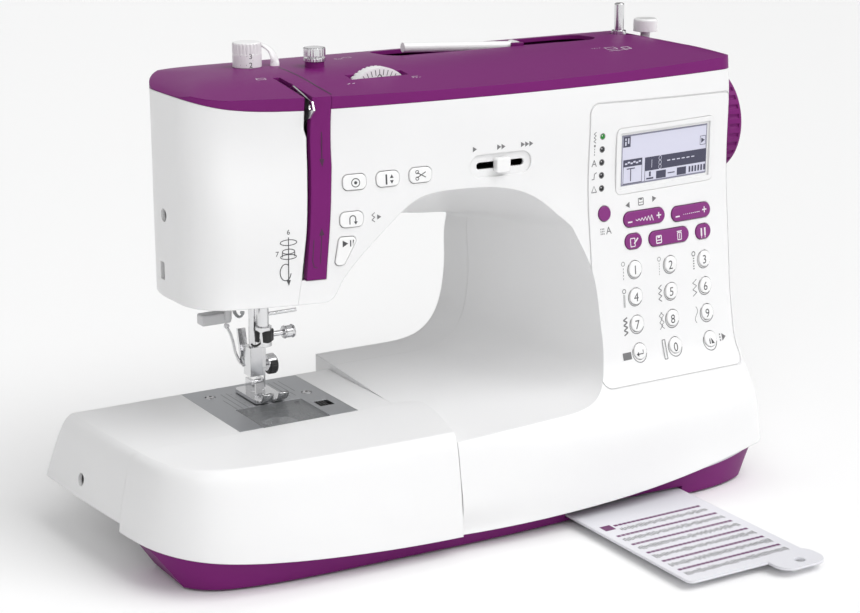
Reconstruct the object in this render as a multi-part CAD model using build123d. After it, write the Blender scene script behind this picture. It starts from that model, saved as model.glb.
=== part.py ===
from build123d import *
import math
import os

# Computerised free-arm sewing machine, in millimetres.
# It is drawn round the needle plate: the needle drops near x = 0, y = 0, the table is z = 0,
# +X runs to the handwheel, +Y to the back. Every piece is moved by ORIGIN when it is written,
# which puts the origin under the middle of the machine.

ORIGIN = (-98.7, 89.1, 0.0)

# Housing
WALL = 2.5
GAP = 0.3
BODY_LEFT = -58.0
BODY_MID = 115.0
BODY_BACK = 50.0
BED_Z = 68.4
HEAD_BOTTOM = 140.5
TOP_SEAM = 246.0
HEAD_FRONT_CORNER = 27.0
HEAD_REAR_CORNER = 58.0
HEAD_BULGE = 2.0
TOP_FRONT = 252.0
TOP_CROWN = 260.0
SEAM_Y = 28.0
ARM_FRONT = -46.0
ARM_BOTTOM = 29.5
ARM_RIGHT = 62.8
TRAY_BOTTOM = 1.5
TRAY_INSET = 3.0

# Height of a section: front wall at the left end, the middle and the right end, right side wall
BODY_LEVELS = {
    8: (-107.8, -120.9, -111, 291),
    25: (-109.5, -119, -108.5, 292),
    40: (-110, -116.3, -104, 293),
    52: (-111.1, -112.7, -99, 294),
    64: (-118.1, -106.2, -90, 295),
    75: (-112, -97.3, -80.5, 295.5),
    90: (-95, -89.1, -73.5, 296),
    110: (-72, -82.6, -68.5, 296.5),
    137: (-49, -77, -64, 297),
    165: (-48, -73, -60.5, 297),
    205: (-47, -70.5, -58, 297),
    246: (-47, -69, -57, 297),
    266: (-47, -68.5, -56, 297),
}

# Throat between bed and arm, as seen from the front: mouth at y = -68, back at y = 43
THROAT_FRONT_Y = -68.0
THROAT_BACK_Y = 43.0
THROAT_FRONT = [
    (13, 141.6), (26.6, 163.4), (38, 176.7), (53.2, 186.2), (70.3, 192.9), (96, 195),
    (120.7, 193.8), (138.7, 190), (153, 181.5), (161.5, 171), (170, 158.7), (177.7, 141.6),
    (181, 117), (181, 96), (177, 82), (166, 71.5), (150, 67), (130, 66.2),
]
THROAT_BACK = [
    (13, 141.6), (17, 153), (28, 158.5), (50, 159.5), (75, 159.5), (105, 159),
    (125, 158.7), (140, 158.5), (150, 158), (156, 154), (157.5, 148), (157.7, 138),
    (157.5, 120), (155, 100), (149, 86), (138, 77), (122, 73.5), (105, 73.2),
]

# Bed outline at its widest, from the back of the free arm round the left end to the right
BED_OUTLINE = [
    (-117.5, 60), (-114, 0), (-109.5, -46.5), (-102.3, -80.8), (-85, -102.3), (-56.5, -112.5),
    (-15, -117), (40, -119.3), (110, -120),
]
# How far the bed draws in from that outline at each height
BED_LEVELS = {4: 0.1, 15: 0.7, 26: 1.5, 40: 3.5, 52: 6.0, 60: 8.0, 65.5: 10.5, 68.4: 14.0}

# Lower edge of the white covers: a shallow arc, lowest near the middle
EDGE_LOW = 11.0
EDGE_HIGH = 26.0
EDGE_LEFT = -116.0
EDGE_RIGHT = 292.0

# Needle side
NEEDLE_X = 3.4
NEEDLE_BAR_R = 3.25
PRESSER_X = 3.9
PRESSER_Y = 14.0
PRESSER_BAR_R = 3.0
RUNNING = 0.05
PLATE = (-34.6, 39.6, -45.7, 33.0)
PLATE_THICK = 1.5
COVER = (-20.0, 22.0, -45.7, -9.0)
HOOK_X = 1.0
HOOK_Y = -24.0
HOOK_R = 18.5
BOBBIN_R = 10.3
BOBBIN_HEIGHT = 11.4

# Drive
SHAFT_Y = -14.0
SHAFT_Z = 208.0
SHAFT_R = 6.0
WHEEL_R = 34.0
WHEEL_X = 298.5
WHEEL_WIDTH = 13.5

# Keys
KEY_GAP = 0.35
KEY_PROUD = 0.9
KEY_DEPTH = 6.0
NUMBER_COLUMNS = (210.8, 239.1, 267.8)
NUMBER_TOP = 135.6
NUMBER_PITCH = 16.3
NUMBER_DROP = 1.05
NUMBER_R = 4.8


def box(x0, x1, y0, y1, z0, z1):
    """Block between two corners."""
    size = Box(x1 - x0, y1 - y0, z1 - z0)
    return Pos((x0 + x1) / 2, (y0 + y1) / 2, (z0 + z1) / 2) * size


def rod(point, axis, radius, length):
    """Round bar that starts at a point and runs along an axis."""
    plane = Plane(origin=point, z_dir=axis)
    return plane * extrude(Circle(radius), length)


def tube(point, axis, radius, bore, length):
    """Round bar with a hole along it."""
    return rod(point, axis, radius, length) - rod(point, axis, bore, length)


def xz_prism(points, y0, y1):
    """Straight-sided outline in x and z, drawn out from y0 to y1."""
    face = make_face(Polyline([(x, y0, z) for x, z in points], close=True))
    return extrude(face, y1 - y0, dir=(0, 1, 0))


def round_corner(face, corner, radius):
    """Round the corner of a face that lies nearest to a point."""
    return fillet(face.vertices().sort_by_distance(corner)[0], radius)


# ---------------------------------------------------------------- outer forms

def body_section(z, inset):
    """Plan of the column and head at one height: bowed front, rounded corners."""
    left_y, mid_y, right_y, right = BODY_LEVELS[z]
    front = ThreePointArc((BODY_LEFT, left_y), (BODY_MID, mid_y), (right, right_y))
    side = Line((right, right_y), (right, BODY_BACK))
    back = Line((right, BODY_BACK), (BODY_LEFT, BODY_BACK))
    end = ThreePointArc((BODY_LEFT, BODY_BACK), (BODY_LEFT - HEAD_BULGE, 0), (BODY_LEFT, left_y))
    face = make_face([front, side, back, end])
    face = round_corner(face, (BODY_LEFT, left_y, 0), HEAD_FRONT_CORNER)
    face = round_corner(face, (right, right_y, 0), 14)
    face = round_corner(face, (right, BODY_BACK, 0), 20)
    face = round_corner(face, (BODY_LEFT, BODY_BACK, 0), HEAD_REAR_CORNER)
    if inset:
        face = offset(face, -inset)
    return Pos(0, 0, z) * face


def body_form(inset=0.0):
    """Solid of the column, arm and head before the throat is cut."""
    return loft([body_section(z, inset) for z in BODY_LEVELS])


def throat_form(grow=0.0):
    """Space over the bed, out to the left, with the throat at its right end."""
    faces = []
    for y in (-140, 80):
        share = (THROAT_BACK_Y - y) / (THROAT_BACK_Y - THROAT_FRONT_Y)
        points = []
        for front, back in zip(THROAT_FRONT, THROAT_BACK):
            x = back[0] + share * (front[0] - back[0])
            z = back[1] + share * (front[1] - back[1])
            points.append((x, z))
        rim = []
        for i, point in enumerate(points):
            before = points[max(i - 1, 0)]
            after = points[min(i + 1, len(points) - 1)]
            dx = after[0] - before[0]
            dz = after[1] - before[1]
            step = grow / math.hypot(dx, dz)
            rim.append((point[0] - dz * step, y, point[1] + dx * step))
        ceiling = HEAD_BOTTOM + grow
        start = (8 - grow, y, ceiling)
        rim = [point for point in rim if point[2] > ceiling + 0.6 or point[0] > 60]
        curve = Spline([start] + rim)
        floor = rim[-1][2]
        left = ARM_RIGHT + 0.2 + grow
        corners = [rim[-1], (left, y, floor), (left, y, -30), (-140, y, -30), (-140, y, ceiling), start]
        faces.append(make_face([curve, Polyline(corners)]))
    return loft(faces, ruled=True)


def edge_prism(drop=0.0, top=400.0):
    """Everything above the arc that ends the white covers."""
    middle = (EDGE_LEFT + EDGE_RIGHT) / 2
    arc = ThreePointArc(
        (EDGE_LEFT - 20, -150, EDGE_HIGH + 3 - drop),
        (middle, -150, EDGE_LOW - drop),
        (EDGE_RIGHT + 20, -150, EDGE_HIGH + 3 - drop),
    )
    sides = Polyline(
        (EDGE_RIGHT + 20, -150, EDGE_HIGH + 3 - drop),
        (EDGE_RIGHT + 20, -150, top),
        (EDGE_LEFT - 20, -150, top),
        (EDGE_LEFT - 20, -150, EDGE_HIGH + 3 - drop),
    )
    return extrude(make_face([arc, sides]), 250, dir=(0, 1, 0))


def crown_prism(drop=0.0):
    """Everything under the gently domed top."""
    arc = Spline(
        (-80, -90, TOP_FRONT - 2.4 - drop),
        (-80, -62, TOP_FRONT + 0.8 - drop),
        (-80, -20, TOP_CROWN - 1 - drop),
        (-80, 20, TOP_CROWN - drop),
        (-80, 70, TOP_FRONT + 2 - drop),
    )
    rear = TOP_FRONT + 2 - drop
    front = TOP_FRONT - 2.4 - drop
    low = [(-80, 70, rear), (-80, 70, 0), (-80, -160, 0), (-80, -160, front - 40), (-80, -90, front)]
    sides = Polyline(low)
    return extrude(make_face([arc, sides]), 400, dir=(1, 0, 0))


def end_prism(drop=0.0):
    """Everything under the top as it falls away at both ends."""
    heights = [(-72, 243), (-60, 254.5), (-50, 257.8), (-30, 260.2), (0, 261), (115, 261.5), (240, 261)]
    heights = heights + [(270, 259.5), (286, 256.5), (300, 249)]
    arc = Spline([(x, -160, z - drop) for x, z in heights])
    ends = Polyline((300, -160, 249 - drop), (300, -160, 0), (-72, -160, 0), (-72, -160, 243 - drop))
    return extrude(make_face([arc, ends]), 300, dir=(0, 1, 0))


def below_seam(lift=0.0):
    """Everything under the seam of the lid, which rises at the head end."""
    rise = [(-100, 268), (-72, 259.5), (-60, 254.5), (-50, 251.4), (-38, 248.9), (-17, 246.7), (4, 246)]
    arc = Spline([(x, -160, z + lift) for x, z in rise])
    flat = [(4, TOP_SEAM + lift), (320, TOP_SEAM + lift), (320, 0), (-100, 0), (-100, 268 + lift)]
    return extrude(make_face([arc, Polyline([(x, -160, z) for x, z in flat])]), 300, dir=(0, 1, 0))


def bed_section(z, shrink):
    """Plan of the bed at one height, closed well to the right and to the back."""
    rim = Spline(BED_OUTLINE)
    face = make_face([rim, Polyline((110, -120), (160, -120), (160, 60), (-117.5, 60))])
    return Pos(0, 0, z) * offset(face, -shrink)


def bed_form(inset=0.0):
    """Solid of the bed: rounded at the left end, drawn in towards the top."""
    return loft([bed_section(z, draw + inset) for z, draw in BED_LEVELS.items()])


def tray_section(z, shrink):
    """Plan of the base tray at one height."""
    front = [(115, -121), (200, -119.5), (274, -114), (288, -105), (291, -92)]
    rim = Spline(BED_OUTLINE[1:-1] + front)
    back = Polyline((291, -92), (291, BODY_BACK), (-114, BODY_BACK), (-114, 0))
    face = make_face([rim, back])
    return Pos(0, 0, z) * offset(face, -shrink)


def tray_form(inset=0.0):
    """Solid of the base tray, whose walls lean in towards the table."""
    leans = {TRAY_BOTTOM: 9.0, 15: 5.0, 30: 0.0}
    return loft([tray_section(z, TRAY_INSET + lean + inset) for z, lean in leans.items()])


BODY = body_form()
BODY_INSIDE = body_form(WALL)
THROAT = throat_form()
THROAT_GROWN = throat_form(WALL)
BED = bed_form()
BED_INSIDE = bed_form(WALL)
ABOVE_EDGE = edge_prism()
CROWNED = BODY & crown_prism() & end_prism()


def on_front(x, z):
    """Plane on the front wall at x and z, with its normal pointing out."""
    point, normal = BODY.find_intersection_points(Axis((x, -300, z), (0, 1, 0)))[0]
    if normal.Y > 0:
        normal = normal * -1
    return Plane(origin=point, x_dir=(1, 0, 0), z_dir=normal)


# ---------------------------------------------------------------- lines that part the covers

# Right edge of the face cover, then the purple strip to the right of the take-up slot
FACE_EDGE = [(1.4, 275), (2.0, 236), (3.5, 231), (3.3, 216), (0.7, 180), (-2.2, 153.5), (-5.4, 139)]
STRIP = [(5.9, 275), (16.6, 275), (16.6, 215), (11.3, 153.5), (0.4, 153.5), (5.2, 215)]
STRIP_BACK = -34.0
# Plan of the seam between the accessory box and the column
SEAM = [(78.3, -52), (76.7, -70), (71, -90), (66.5, -108), (65, -125)]


def face_region():
    """Head end, left of the take-up slot."""
    return xz_prism([(-90, 275)] + FACE_EDGE + [(-90, 139)], -120, 80)


def strip_region(grow=0.0, front=-120.0, back=STRIP_BACK):
    """Column of space that the purple strip fills."""
    face = make_face(Polyline([(x, front, z) for x, z in STRIP], close=True))
    if grow:
        face = offset(face, grow, kind=Kind.INTERSECTION)
    return extrude(face, back - front, dir=(0, 1, 0))


def slot_region():
    """Take-up slot, between the face cover and the strip, open at the top."""
    right = [(0.6, 153.5), (5.4, 215), (6.1, 275)]
    return xz_prism(FACE_EDGE[:6] + right, -120, -22)


def seam_region(side=0.0, back=0.0):
    """Space of the accessory box: in front of the free arm, left of the curved seam."""
    curve = Spline([(x + side, y, -10) for x, y in SEAM])
    first = (SEAM[0][0] + side, SEAM[0][1], -10)
    last = (SEAM[-1][0] + side, SEAM[-1][1], -10)
    edge = ARM_FRONT + back
    corners = [(SEAM[-1][0] + side, -150, -10), (-140, -150, -10), (-140, edge, -10)]
    corners = corners + [(72 + side, edge, -10), (77 + side, edge - 2.5, -10), first]
    face = make_face([curve, Polyline([last] + corners)])
    return extrude(face, 90, dir=(0, 0, 1))


# ---------------------------------------------------------------- covers

def white_shell():
    """Hollow white housing of column, arm and head, open below and at the top."""
    outer = CROWNED - THROAT
    inner = BODY_INSIDE - THROAT_GROWN
    shell = (outer - inner) & ABOVE_EDGE & below_seam()
    return shell - seam_region(GAP, GAP)


KEYPAD = {
    "mode_button": (190.5, 170.7, 8.8, 8.8),
    "width_rocker": (220.4, 164.8, 32.0, 9.0),
    "length_rocker": (258.3, 163.1, 32.6, 9.0),
    "edit_key": (210.8, 152.0, 12.8, 9.0),
    "memory_rocker": (239.0, 151.0, 32.4, 9.0),
    "twin_needle_key": (267.6, 150.0, 12.8, 9.0),
}
NUMBER_KEYS = ["key_1", "key_2", "key_3", "key_4", "key_5", "key_6", "key_7", "key_8", "key_9",
               "key_enter", "key_0", "key_mirror"]
for index, name in enumerate(NUMBER_KEYS):
    key_x = NUMBER_COLUMNS[index % 3]
    key_z = NUMBER_TOP - NUMBER_PITCH * (index // 3) - NUMBER_DROP * (index % 3)
    KEYPAD[name] = (key_x, key_z, 2 * NUMBER_R, 2 * NUMBER_R)

HEAD_BUTTONS = {
    "lock_stitch_button": (29.1, 205.4, 13.6, 8.4),
    "needle_position_button": (48.6, 205.6, 13.6, 8.4),
    "thread_cutter_button": (68.2, 206.0, 13.6, 8.4),
    "reverse_button": (26.5, 185.2, 13.6, 8.4),
}
START_BUTTON = [(-3.4, 7.8), (7.8, 7.6), (-0.6, -7.6), (-6.2, -7.8)]
START_AT = (22.4, 168.0)
SLIDER = (119.2, 207.2, 40.0, 13.0)
SLIDER_TRACK = (31.0, 4.0)
SLIDER_KNOB = (9.0, 8.4)
SCREEN = (238.6, 199.8, 78.6, 39.6)
SCREEN_RIM = 3.2


def key_outline(name, grow):
    """Outline of a key: round ends on the keypad, rounded corners on the head."""
    if name == "start_stop_button":
        face = make_face(Polyline(START_BUTTON, close=True))
        face = fillet(face.vertices(), 2.2)
        return offset(face, grow) if grow else face
    if name in KEYPAD:
        width, height = KEYPAD[name][2:]
        if width == height:
            return Circle(width / 2 + grow)
        return SlotOverall(width + 2 * grow, height + 2 * grow)
    width, height = HEAD_BUTTONS[name][2:]
    return RectangleRounded(width + 2 * grow, height + 2 * grow, 3.2 + grow)


def key_plane(name):
    """Plane of a key's cap on the front wall."""
    if name == "start_stop_button":
        return on_front(*START_AT)
    place = KEYPAD.get(name) or HEAD_BUTTONS.get(name)
    return on_front(place[0], place[1])


def key(name):
    """Key cap that stands a little proud, with a softened edge and a stem behind."""
    cap = extrude(key_outline(name, 0), KEY_DEPTH + KEY_PROUD)
    cap = fillet(cap.edges().group_by(Axis.Z)[-1], 0.6)
    return key_plane(name) * (Pos(0, 0, -KEY_DEPTH) * cap)


def key_hole(name):
    """Hole in the cover for a key."""
    depth = KEY_DEPTH + 2 * KEY_PROUD
    hole = extrude(key_outline(name, KEY_GAP), depth + 8)
    return key_plane(name) * (Pos(0, 0, -depth) * hole)


KEY_NAMES = list(KEYPAD) + list(HEAD_BUTTONS) + ["start_stop_button"]


PANEL = [(179.6, 236.2), (294.6, 232.8), (289.2, 67.5), (176.8, 70.1)]


def panel_groove():
    """Fine groove round the control panel."""
    face = make_face(Polyline([(x, -120, z) for x, z in PANEL], close=True))
    face = fillet(face.vertices(), 7)
    ring = face - offset(face, -0.9)
    return extrude(ring, 80, dir=(0, 1, 0)) - body_form(0.7)


def front_cover(shell):
    """Front half of the white housing, with the key holes, screen window and slider slot."""
    cover = shell & box(-100, 320, -160, SEAM_Y, 0, 300)
    cover = cover - face_region() - strip_region(GAP) - slot_region()
    holes = [key_hole(name) for name in KEY_NAMES]
    screen = Pos(0, 0, -10) * extrude(RectangleRounded(SCREEN[2], SCREEN[3], 4), 20)
    holes.append(on_front(SCREEN[0], SCREEN[1]) * screen)
    recess = Pos(0, 0, -1.2) * extrude(SlotOverall(SLIDER[2], SLIDER[3]), 8)
    holes.append(on_front(SLIDER[0], SLIDER[1]) * recess)
    track = Pos(0, 0, -10) * extrude(SlotOverall(*SLIDER_TRACK), 20)
    holes.append(on_front(SLIDER[0], SLIDER[1]) * track)
    holes.append(panel_groove())
    cover = cover.cut(*holes)
    cover = cover - rod((285, SHAFT_Y, SHAFT_Z), (1, 0, 0), 9, 30)
    beam_relief = box(60, 68, 19.6, SEAM_Y + 1, 35.6, 60.4)
    lifter_relief = box(10.6, 21.4, 23.6, SEAM_Y + 1, 150, 168.4)
    cover = cover.cut(beam_relief, lifter_relief)
    return cover - head_opening() - power_cutouts()


def rear_cover(shell):
    """Rear half of the white housing."""
    cover = shell & box(-100, 320, SEAM_Y + 0.1, 100, 0, 300)
    lifter_slot = box(8, 24, 30, 80, 143, 185)
    vents = [box(215 + 9 * i, 219 + 9 * i, 40, 60, 60, 100) for i in range(6)]
    cover = cover.cut(face_region(), lifter_slot, *vents)
    return cover - head_opening() - power_cutouts()


def head_opening():
    """Opening in the underside of the head for the needle and presser bars."""
    return box(-30, 30, -20, 37, 120, 148)


def face_cover(shell):
    """Left end of the head, with the screwdriver hole and the thread cutter's slot."""
    cover = shell & face_region()
    cover = cover - slot_region()
    cover = cover - rod((-80, -9.4, 187), (1, 0, 0), 3.6, 40)
    cover = cover - box(-80, -50, -8, -2, 150, 160)
    trimmed = cover - box(-4.4, 30, SEAM_Y, 100, 0, 300)
    return trimmed - head_opening()


def strip_cover():
    """Purple threading strip, which runs down the front and over the top."""
    outside = (body_form(-0.5) & crown_prism(-0.4)) - THROAT
    strip = strip_region(-0.05) & outside
    strip = strip - (body_form(WALL + 1.0) & crown_prism(WALL + 1.0))
    return strip


TENSION_X = 60.5
TENSION_Y = -33.0
TENSION_Z = 241.0
TENSION_R = 21.0
KNOB_R = 8.2
KNOB_Z = 260.4
KNOB_STEM_R = 7.0
KNOB_BORE = 5.0
BAY_Z = 254.6
SPOOL_LEFT = (107.0, 18.0, 263.0)
SPOOL_HINGE = (181.0, 12.0, 259.4)
SPOOL_R = 2.9
SPOOL_HUB_R = 3.4
WINDER_AT = (266.0, 21.0)
WINDER_TRAVEL = 5.8
STOP_AT = (286.0, 20.0)
GUIDE_AT = (36.5, -5.0)
GUIDE_R = 5.8
GUIDE_Z = 263.4


def top_cover():
    """Purple lid, domed, with its holes and the shallow bay for the thread spool."""
    lid = CROWNED - below_seam(0.1)
    lid = lid - (BODY_INSIDE & crown_prism(WALL) & end_prism(WALL))
    bay = extrude(Pos(167, 22, BAY_Z) * RectangleRounded(150, 34, 12), 20)
    floor = extrude(Pos(167, 22, BAY_Z - WALL) * RectangleRounded(155, 39, 14), WALL)
    lid = (lid + floor.intersect(BODY_INSIDE)) - bay
    boss = rod((GUIDE_AT[0], GUIDE_AT[1], 257), (0, 0, 1), GUIDE_R - 0.3, GUIDE_Z - 257)
    lid = lid + boss + spool_bracket()
    holes = [
        rod((PRESSER_X, PRESSER_Y, 240), (0, 0, 1), KNOB_STEM_R + 0.4, 40),
        box(TENSION_X - 18, TENSION_X + 18, TENSION_Y - 4.4, TENSION_Y + 4.4, 240, 280),
        rod((WINDER_AT[0], WINDER_AT[1], 240), (0, 0, 1), 5.4, 40),
        box(WINDER_AT[0], WINDER_AT[0] + WINDER_TRAVEL, WINDER_AT[1] - 5.4, WINDER_AT[1] + 5.4, 240, 280),
        rod((WINDER_AT[0] + WINDER_TRAVEL, WINDER_AT[1], 240), (0, 0, 1), 5.4, 40),
        rod((STOP_AT[0], STOP_AT[1], 240), (0, 0, 1), 3.3, 40),
        rod((GUIDE_AT[0], GUIDE_AT[1], 240), (0, 0, 1), 2.6, 40),
        strip_region(GAP),
        slot_region(),
    ]
    return lid.cut(*holes)


def spool_plane():
    """Plane across the hinge of the spool pin: its normal is the hinge, its x runs along the pin."""
    along = Vector(SPOOL_LEFT) - Vector(SPOOL_HINGE)
    level = Vector(along.X, along.Y, 0).normalized()
    return Plane(origin=SPOOL_HINGE, x_dir=level, z_dir=level.cross(Vector(0, 0, 1)))


def spool_bracket():
    """Two cheeks on the floor of the bay and the axle between them, for the spool pin."""
    cheek = Pos(0, -1.6, 0) * Box(8.0, 8.2, 2.0)
    axle = Pos(0, 0, -5) * extrude(Circle(1.5), 10)
    return spool_plane() * (Pos(0, 0, 4.7) * cheek + Pos(0, 0, -4.7) * cheek + axle)


def free_arm_cover():
    """White sleeve over the free arm, open where the needle plate sits."""
    reach = box(-140, ARM_RIGHT, ARM_FRONT, 60, ARM_BOTTOM, BED_Z)
    outer = BED & reach
    low = ARM_BOTTOM - 1
    high = BED_Z + 1
    lean = make_face(Polyline((0, 33, high), (0, 46, low), (0, 80, low), (0, 80, high), close=True))
    back = Pos(-150, 0, 0) * extrude(lean, 300, dir=(1, 0, 0))
    outer = outer - back
    room = box(-140, ARM_RIGHT + 5, ARM_FRONT + WALL, 60, ARM_BOTTOM + WALL, BED_Z - WALL)
    inside = BED_INSIDE & room
    inside = inside - Pos(0, -WALL, 0) * back
    cover = outer - inside
    pocket = box(PLATE[0] - 0.15, PLATE[1] + 0.15, PLATE[2] - 5, PLATE[3] + 5, BED_Z - PLATE_THICK, 90)
    well = box(PLATE[0] + 3, PLATE[1] - 3, PLATE[2] + 3, PLATE[3] - 3, 60, 90)
    hole = rod((-130, 1.6, 40), (1, 0, 0), 3.6, 40)
    return cover - pocket - well - hole


def accessory_box():
    """Box in front of the free arm: it closes the bed and slides off to the left."""
    region = seam_region() & ABOVE_EDGE
    outer = BED & region
    inside = BED_INSIDE & seam_inside()
    skirt = bed_form(WALL) & box(-140, 120, -150, ARM_FRONT + 3, -10, 26)
    return outer - inside - skirt


def seam_inside():
    """Cavity of the accessory box, open towards the free arm."""
    return seam_region(-WALL, 4) & box(-140, 80, -150, ARM_FRONT + 3, 28, BED_Z - WALL)


def outside_tray(grow=0.0):
    """Space kept free of the tray: under the free arm, and left of its leaning left end."""
    under_arm = box(-150, TRAY_ARM_X + grow, TRAY_ARM_Y - grow, 100, -5, 60)
    left = [(-160, -5), (TRAY_LEFT + grow, -5), (TRAY_LEFT - TRAY_LEAN + grow, 40), (-160, 40)]
    return under_arm + xz_prism(left, -160, 100)


def base_tray():
    """Purple tray under the column and the accessory box, with the card slot in its front."""
    inner = (tray_form(WALL) - outside_tray(WALL)) & box(-140, 320, -160, 100, TRAY_BOTTOM + 1.5, 60)
    tray = tray_form() - outside_tray() - inner - edge_prism(0.4)
    slot = box(CARD_X0 - 1.2, CARD_X1 + 1.2, -150, -90, 3.6, 7.6)
    pads = [rod((x, y, 0), (0, 0, 1), 6.2, 2.6) for x, y in FOOT_PLACES]
    return tray.cut(slot, *pads)


TRAY_ARM_X = 58.0
TRAY_ARM_Y = -44.0
TRAY_LEFT = -83.2
TRAY_LEAN = 30.0
FOOT_PLACES = [(-62, -68), (14, -90), (90, -88), (262, -84), (262, 34), (90, 36)]
CARD_X0 = 141.5
CARD_X1 = 223.5
CARD_Z = 4.4
CARD_THICK = 1.4
CARD_FRONT = -224.0
CARD_BACK = -66.0


def feet():
    """Six rubber feet pressed into the tray."""
    return [tube((x, y, 0), (0, 0, 1), 6.1, 2.0, 2.6) for x, y in FOOT_PLACES]


def stitch_card():
    """Stitch reference card with a tab and a hole at its right front corner."""
    card = box(CARD_X0, CARD_X1, CARD_FRONT, CARD_BACK, CARD_Z, CARD_Z + CARD_THICK)
    card = fillet(card.edges().filter_by(Axis.Z), 4)
    tab = extrude(Pos(211, -227, CARD_Z) * RectangleRounded(32, 22, 9), CARD_THICK)
    card = card + tab
    return card - rod((212, -230, 0), (0, 0, 1), 3.0, 20)


# ---------------------------------------------------------------- needle side

def needle_plate():
    """Steel plate over the arm, with the feed slots, the needle slot and the bobbin opening."""
    plate = box(PLATE[0], PLATE[1], PLATE[2], PLATE[3], BED_Z - PLATE_THICK, BED_Z)
    opening = box(COVER[0], COVER[1], COVER[2] - 1, COVER[3], 60, 80)
    plate = plate - opening
    slots = [box(x - 1.9, x + 1.9, -6.2, 20.6, 60, 80) for x in (NEEDLE_X - 7.0, NEEDLE_X + 7.0)]
    slots.append(box(NEEDLE_X - 1.9, NEEDLE_X + 1.9, 6.0, 20.6, 60, 80))
    slots.append(Pos(NEEDLE_X, 0, 60) * extrude(SlotOverall(9.0, 2.2), 20))
    slots.append(box(25, 34, -28.5, -18.5, 60, 80))
    for x, y in PLATE_SCREWS:
        slots.append(rod((x, y, 67.6), (0, 0, 1), 3.2, 2))
    return plate.cut(*slots)


PLATE_SCREWS = [(-22.6, 19.1), (30.2, -0.5)]


def bobbin_cover():
    """Clear cover over the bobbin."""
    low = BED_Z - PLATE_THICK
    cover = box(COVER[0] + 0.2, COVER[1] - 0.2, COVER[2] + 0.2, COVER[3] - 0.2, low, BED_Z)
    return cover - rod((COVER[1] - 5, COVER[3] - 5, 60), (0, 0, 1), 1.5, 20)


def cover_release():
    """Small black slider that lets the bobbin cover go."""
    block = box(25.3, 31.4, -28.2, -18.8, BED_Z - 3.2, BED_Z - 0.3)
    ribs = [box(26 + 1.8 * i, 26.9 + 1.8 * i, -27, -20, BED_Z - 0.4, BED_Z + 0.3) for i in range(3)]
    return block.fuse(*ribs)


def hook():
    """Rotary hook with the bobbin case in it."""
    cup = rod((HOOK_X, HOOK_Y, 45), (0, 0, 1), HOOK_R, 18)
    cup = cup - rod((HOOK_X, HOOK_Y, 49.6), (0, 0, 1), BOBBIN_R + 1.0, 20)
    groove = tube((HOOK_X, HOOK_Y, 54), (0, 0, 1), HOOK_R + 1, HOOK_R - 2.5, 2.4)
    gate = box(HOOK_X - 3, HOOK_X + 3, HOOK_Y - HOOK_R - 1, HOOK_Y - BOBBIN_R, 58, 70)
    stem = rod((HOOK_X, HOOK_Y, 39.5), (0, 0, 1), 4.0, 6)
    gear = tube((HOOK_X, HOOK_Y, 40.5), (0, 0, 1), 9.0, 3.9, 3.5)
    return cup - groove - gate + stem + gear


def bobbin():
    """Wound bobbin."""
    spool = tube((HOOK_X, HOOK_Y, 50.0), (0, 0, 1), BOBBIN_R, 3.0, BOBBIN_HEIGHT)
    thread = tube((HOOK_X, HOOK_Y, 51.2), (0, 0, 1), BOBBIN_R + 1, BOBBIN_R - 0.8, BOBBIN_HEIGHT - 2.4)
    return spool - thread


def feed_dog():
    """Toothed feed, three rows on one carrier."""
    feed = box(NEEDLE_X - 10, NEEDLE_X + 10, 3.0, 19.0, 60.6, 63.4)
    rows = [(NEEDLE_X - 7, -3.8, 18.6), (NEEDLE_X + 7, -3.8, 18.6), (NEEDLE_X, 8.0, 18.6)]
    for x, front, back in rows:
        feed = feed + box(x - 1.4, x + 1.4, front, back, 62.0, 67.4)
        count = int((back - front) / 1.6)
        for i in range(count):
            y = front + 0.3 + 1.6 * i
            left = x - 1.4
            tooth = Polyline((left, y, 67.3), (left, y + 1.3, 67.3), (left, y + 1.1, 68.2), close=True)
            feed = feed + extrude(make_face(tooth), 2.8, dir=(1, 0, 0))
    return feed


def needle_bar():
    """Needle bar with its clamp, thumb screw, thread guide and needle."""
    bar = rod((NEEDLE_X, 0, 112), (0, 0, 1), NEEDLE_BAR_R, 126)
    clamp = rod((NEEDLE_X, 0, 101), (0, 0, 1), 4.7, 11.5)
    screw = rod((NEEDLE_X + 4, 0, 107), (1, 0, 0), 1.6, 9)
    head = rod((NEEDLE_X + 12.5, 0, 107), (1, 0, 0), 3.6, 6.5)
    guide = rod((NEEDLE_X, 0, 119.4), (1, 0, 0), 1.1, 21)
    shank = rod((NEEDLE_X, 0, 88), (0, 0, 1), 1.0, 14)
    blade = Pos(NEEDLE_X, 0, 82) * Cone(0.42, 0.6, 12)
    point = Pos(NEEDLE_X, 0, 75) * Cone(0.06, 0.42, 2.0)
    return bar + clamp + screw + head + guide + shank + blade + point


def presser_bar():
    """Presser bar with the foot holder, its thumb screw and the foot's release lever."""
    bar = rod((PRESSER_X, PRESSER_Y, 92), (0, 0, 1), PRESSER_BAR_R, 160)
    holder = box(PRESSER_X - 4.5, PRESSER_X + 4.5, PRESSER_Y - 4, PRESSER_Y + 5, 79.6, 97)
    screw = rod((PRESSER_X + 4, PRESSER_Y - 0.5, 86), (1, 0, 0), 1.8, 4)
    head = rod((PRESSER_X + 7, PRESSER_Y - 0.5, 86), (1, 0, 0), 5.0, 5)
    lever = Polyline(
        (PRESSER_X - 5, 18.5, 84), (PRESSER_X - 5, 23, 86), (PRESSER_X - 5, 27, 105),
        (PRESSER_X - 5, 25.2, 105.4), (PRESSER_X - 5, 21, 89.5), (PRESSER_X - 5, 18.5, 88), close=True)
    release = extrude(make_face(lever), 5, dir=(1, 0, 0))
    return bar + holder + screw + head + release


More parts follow.
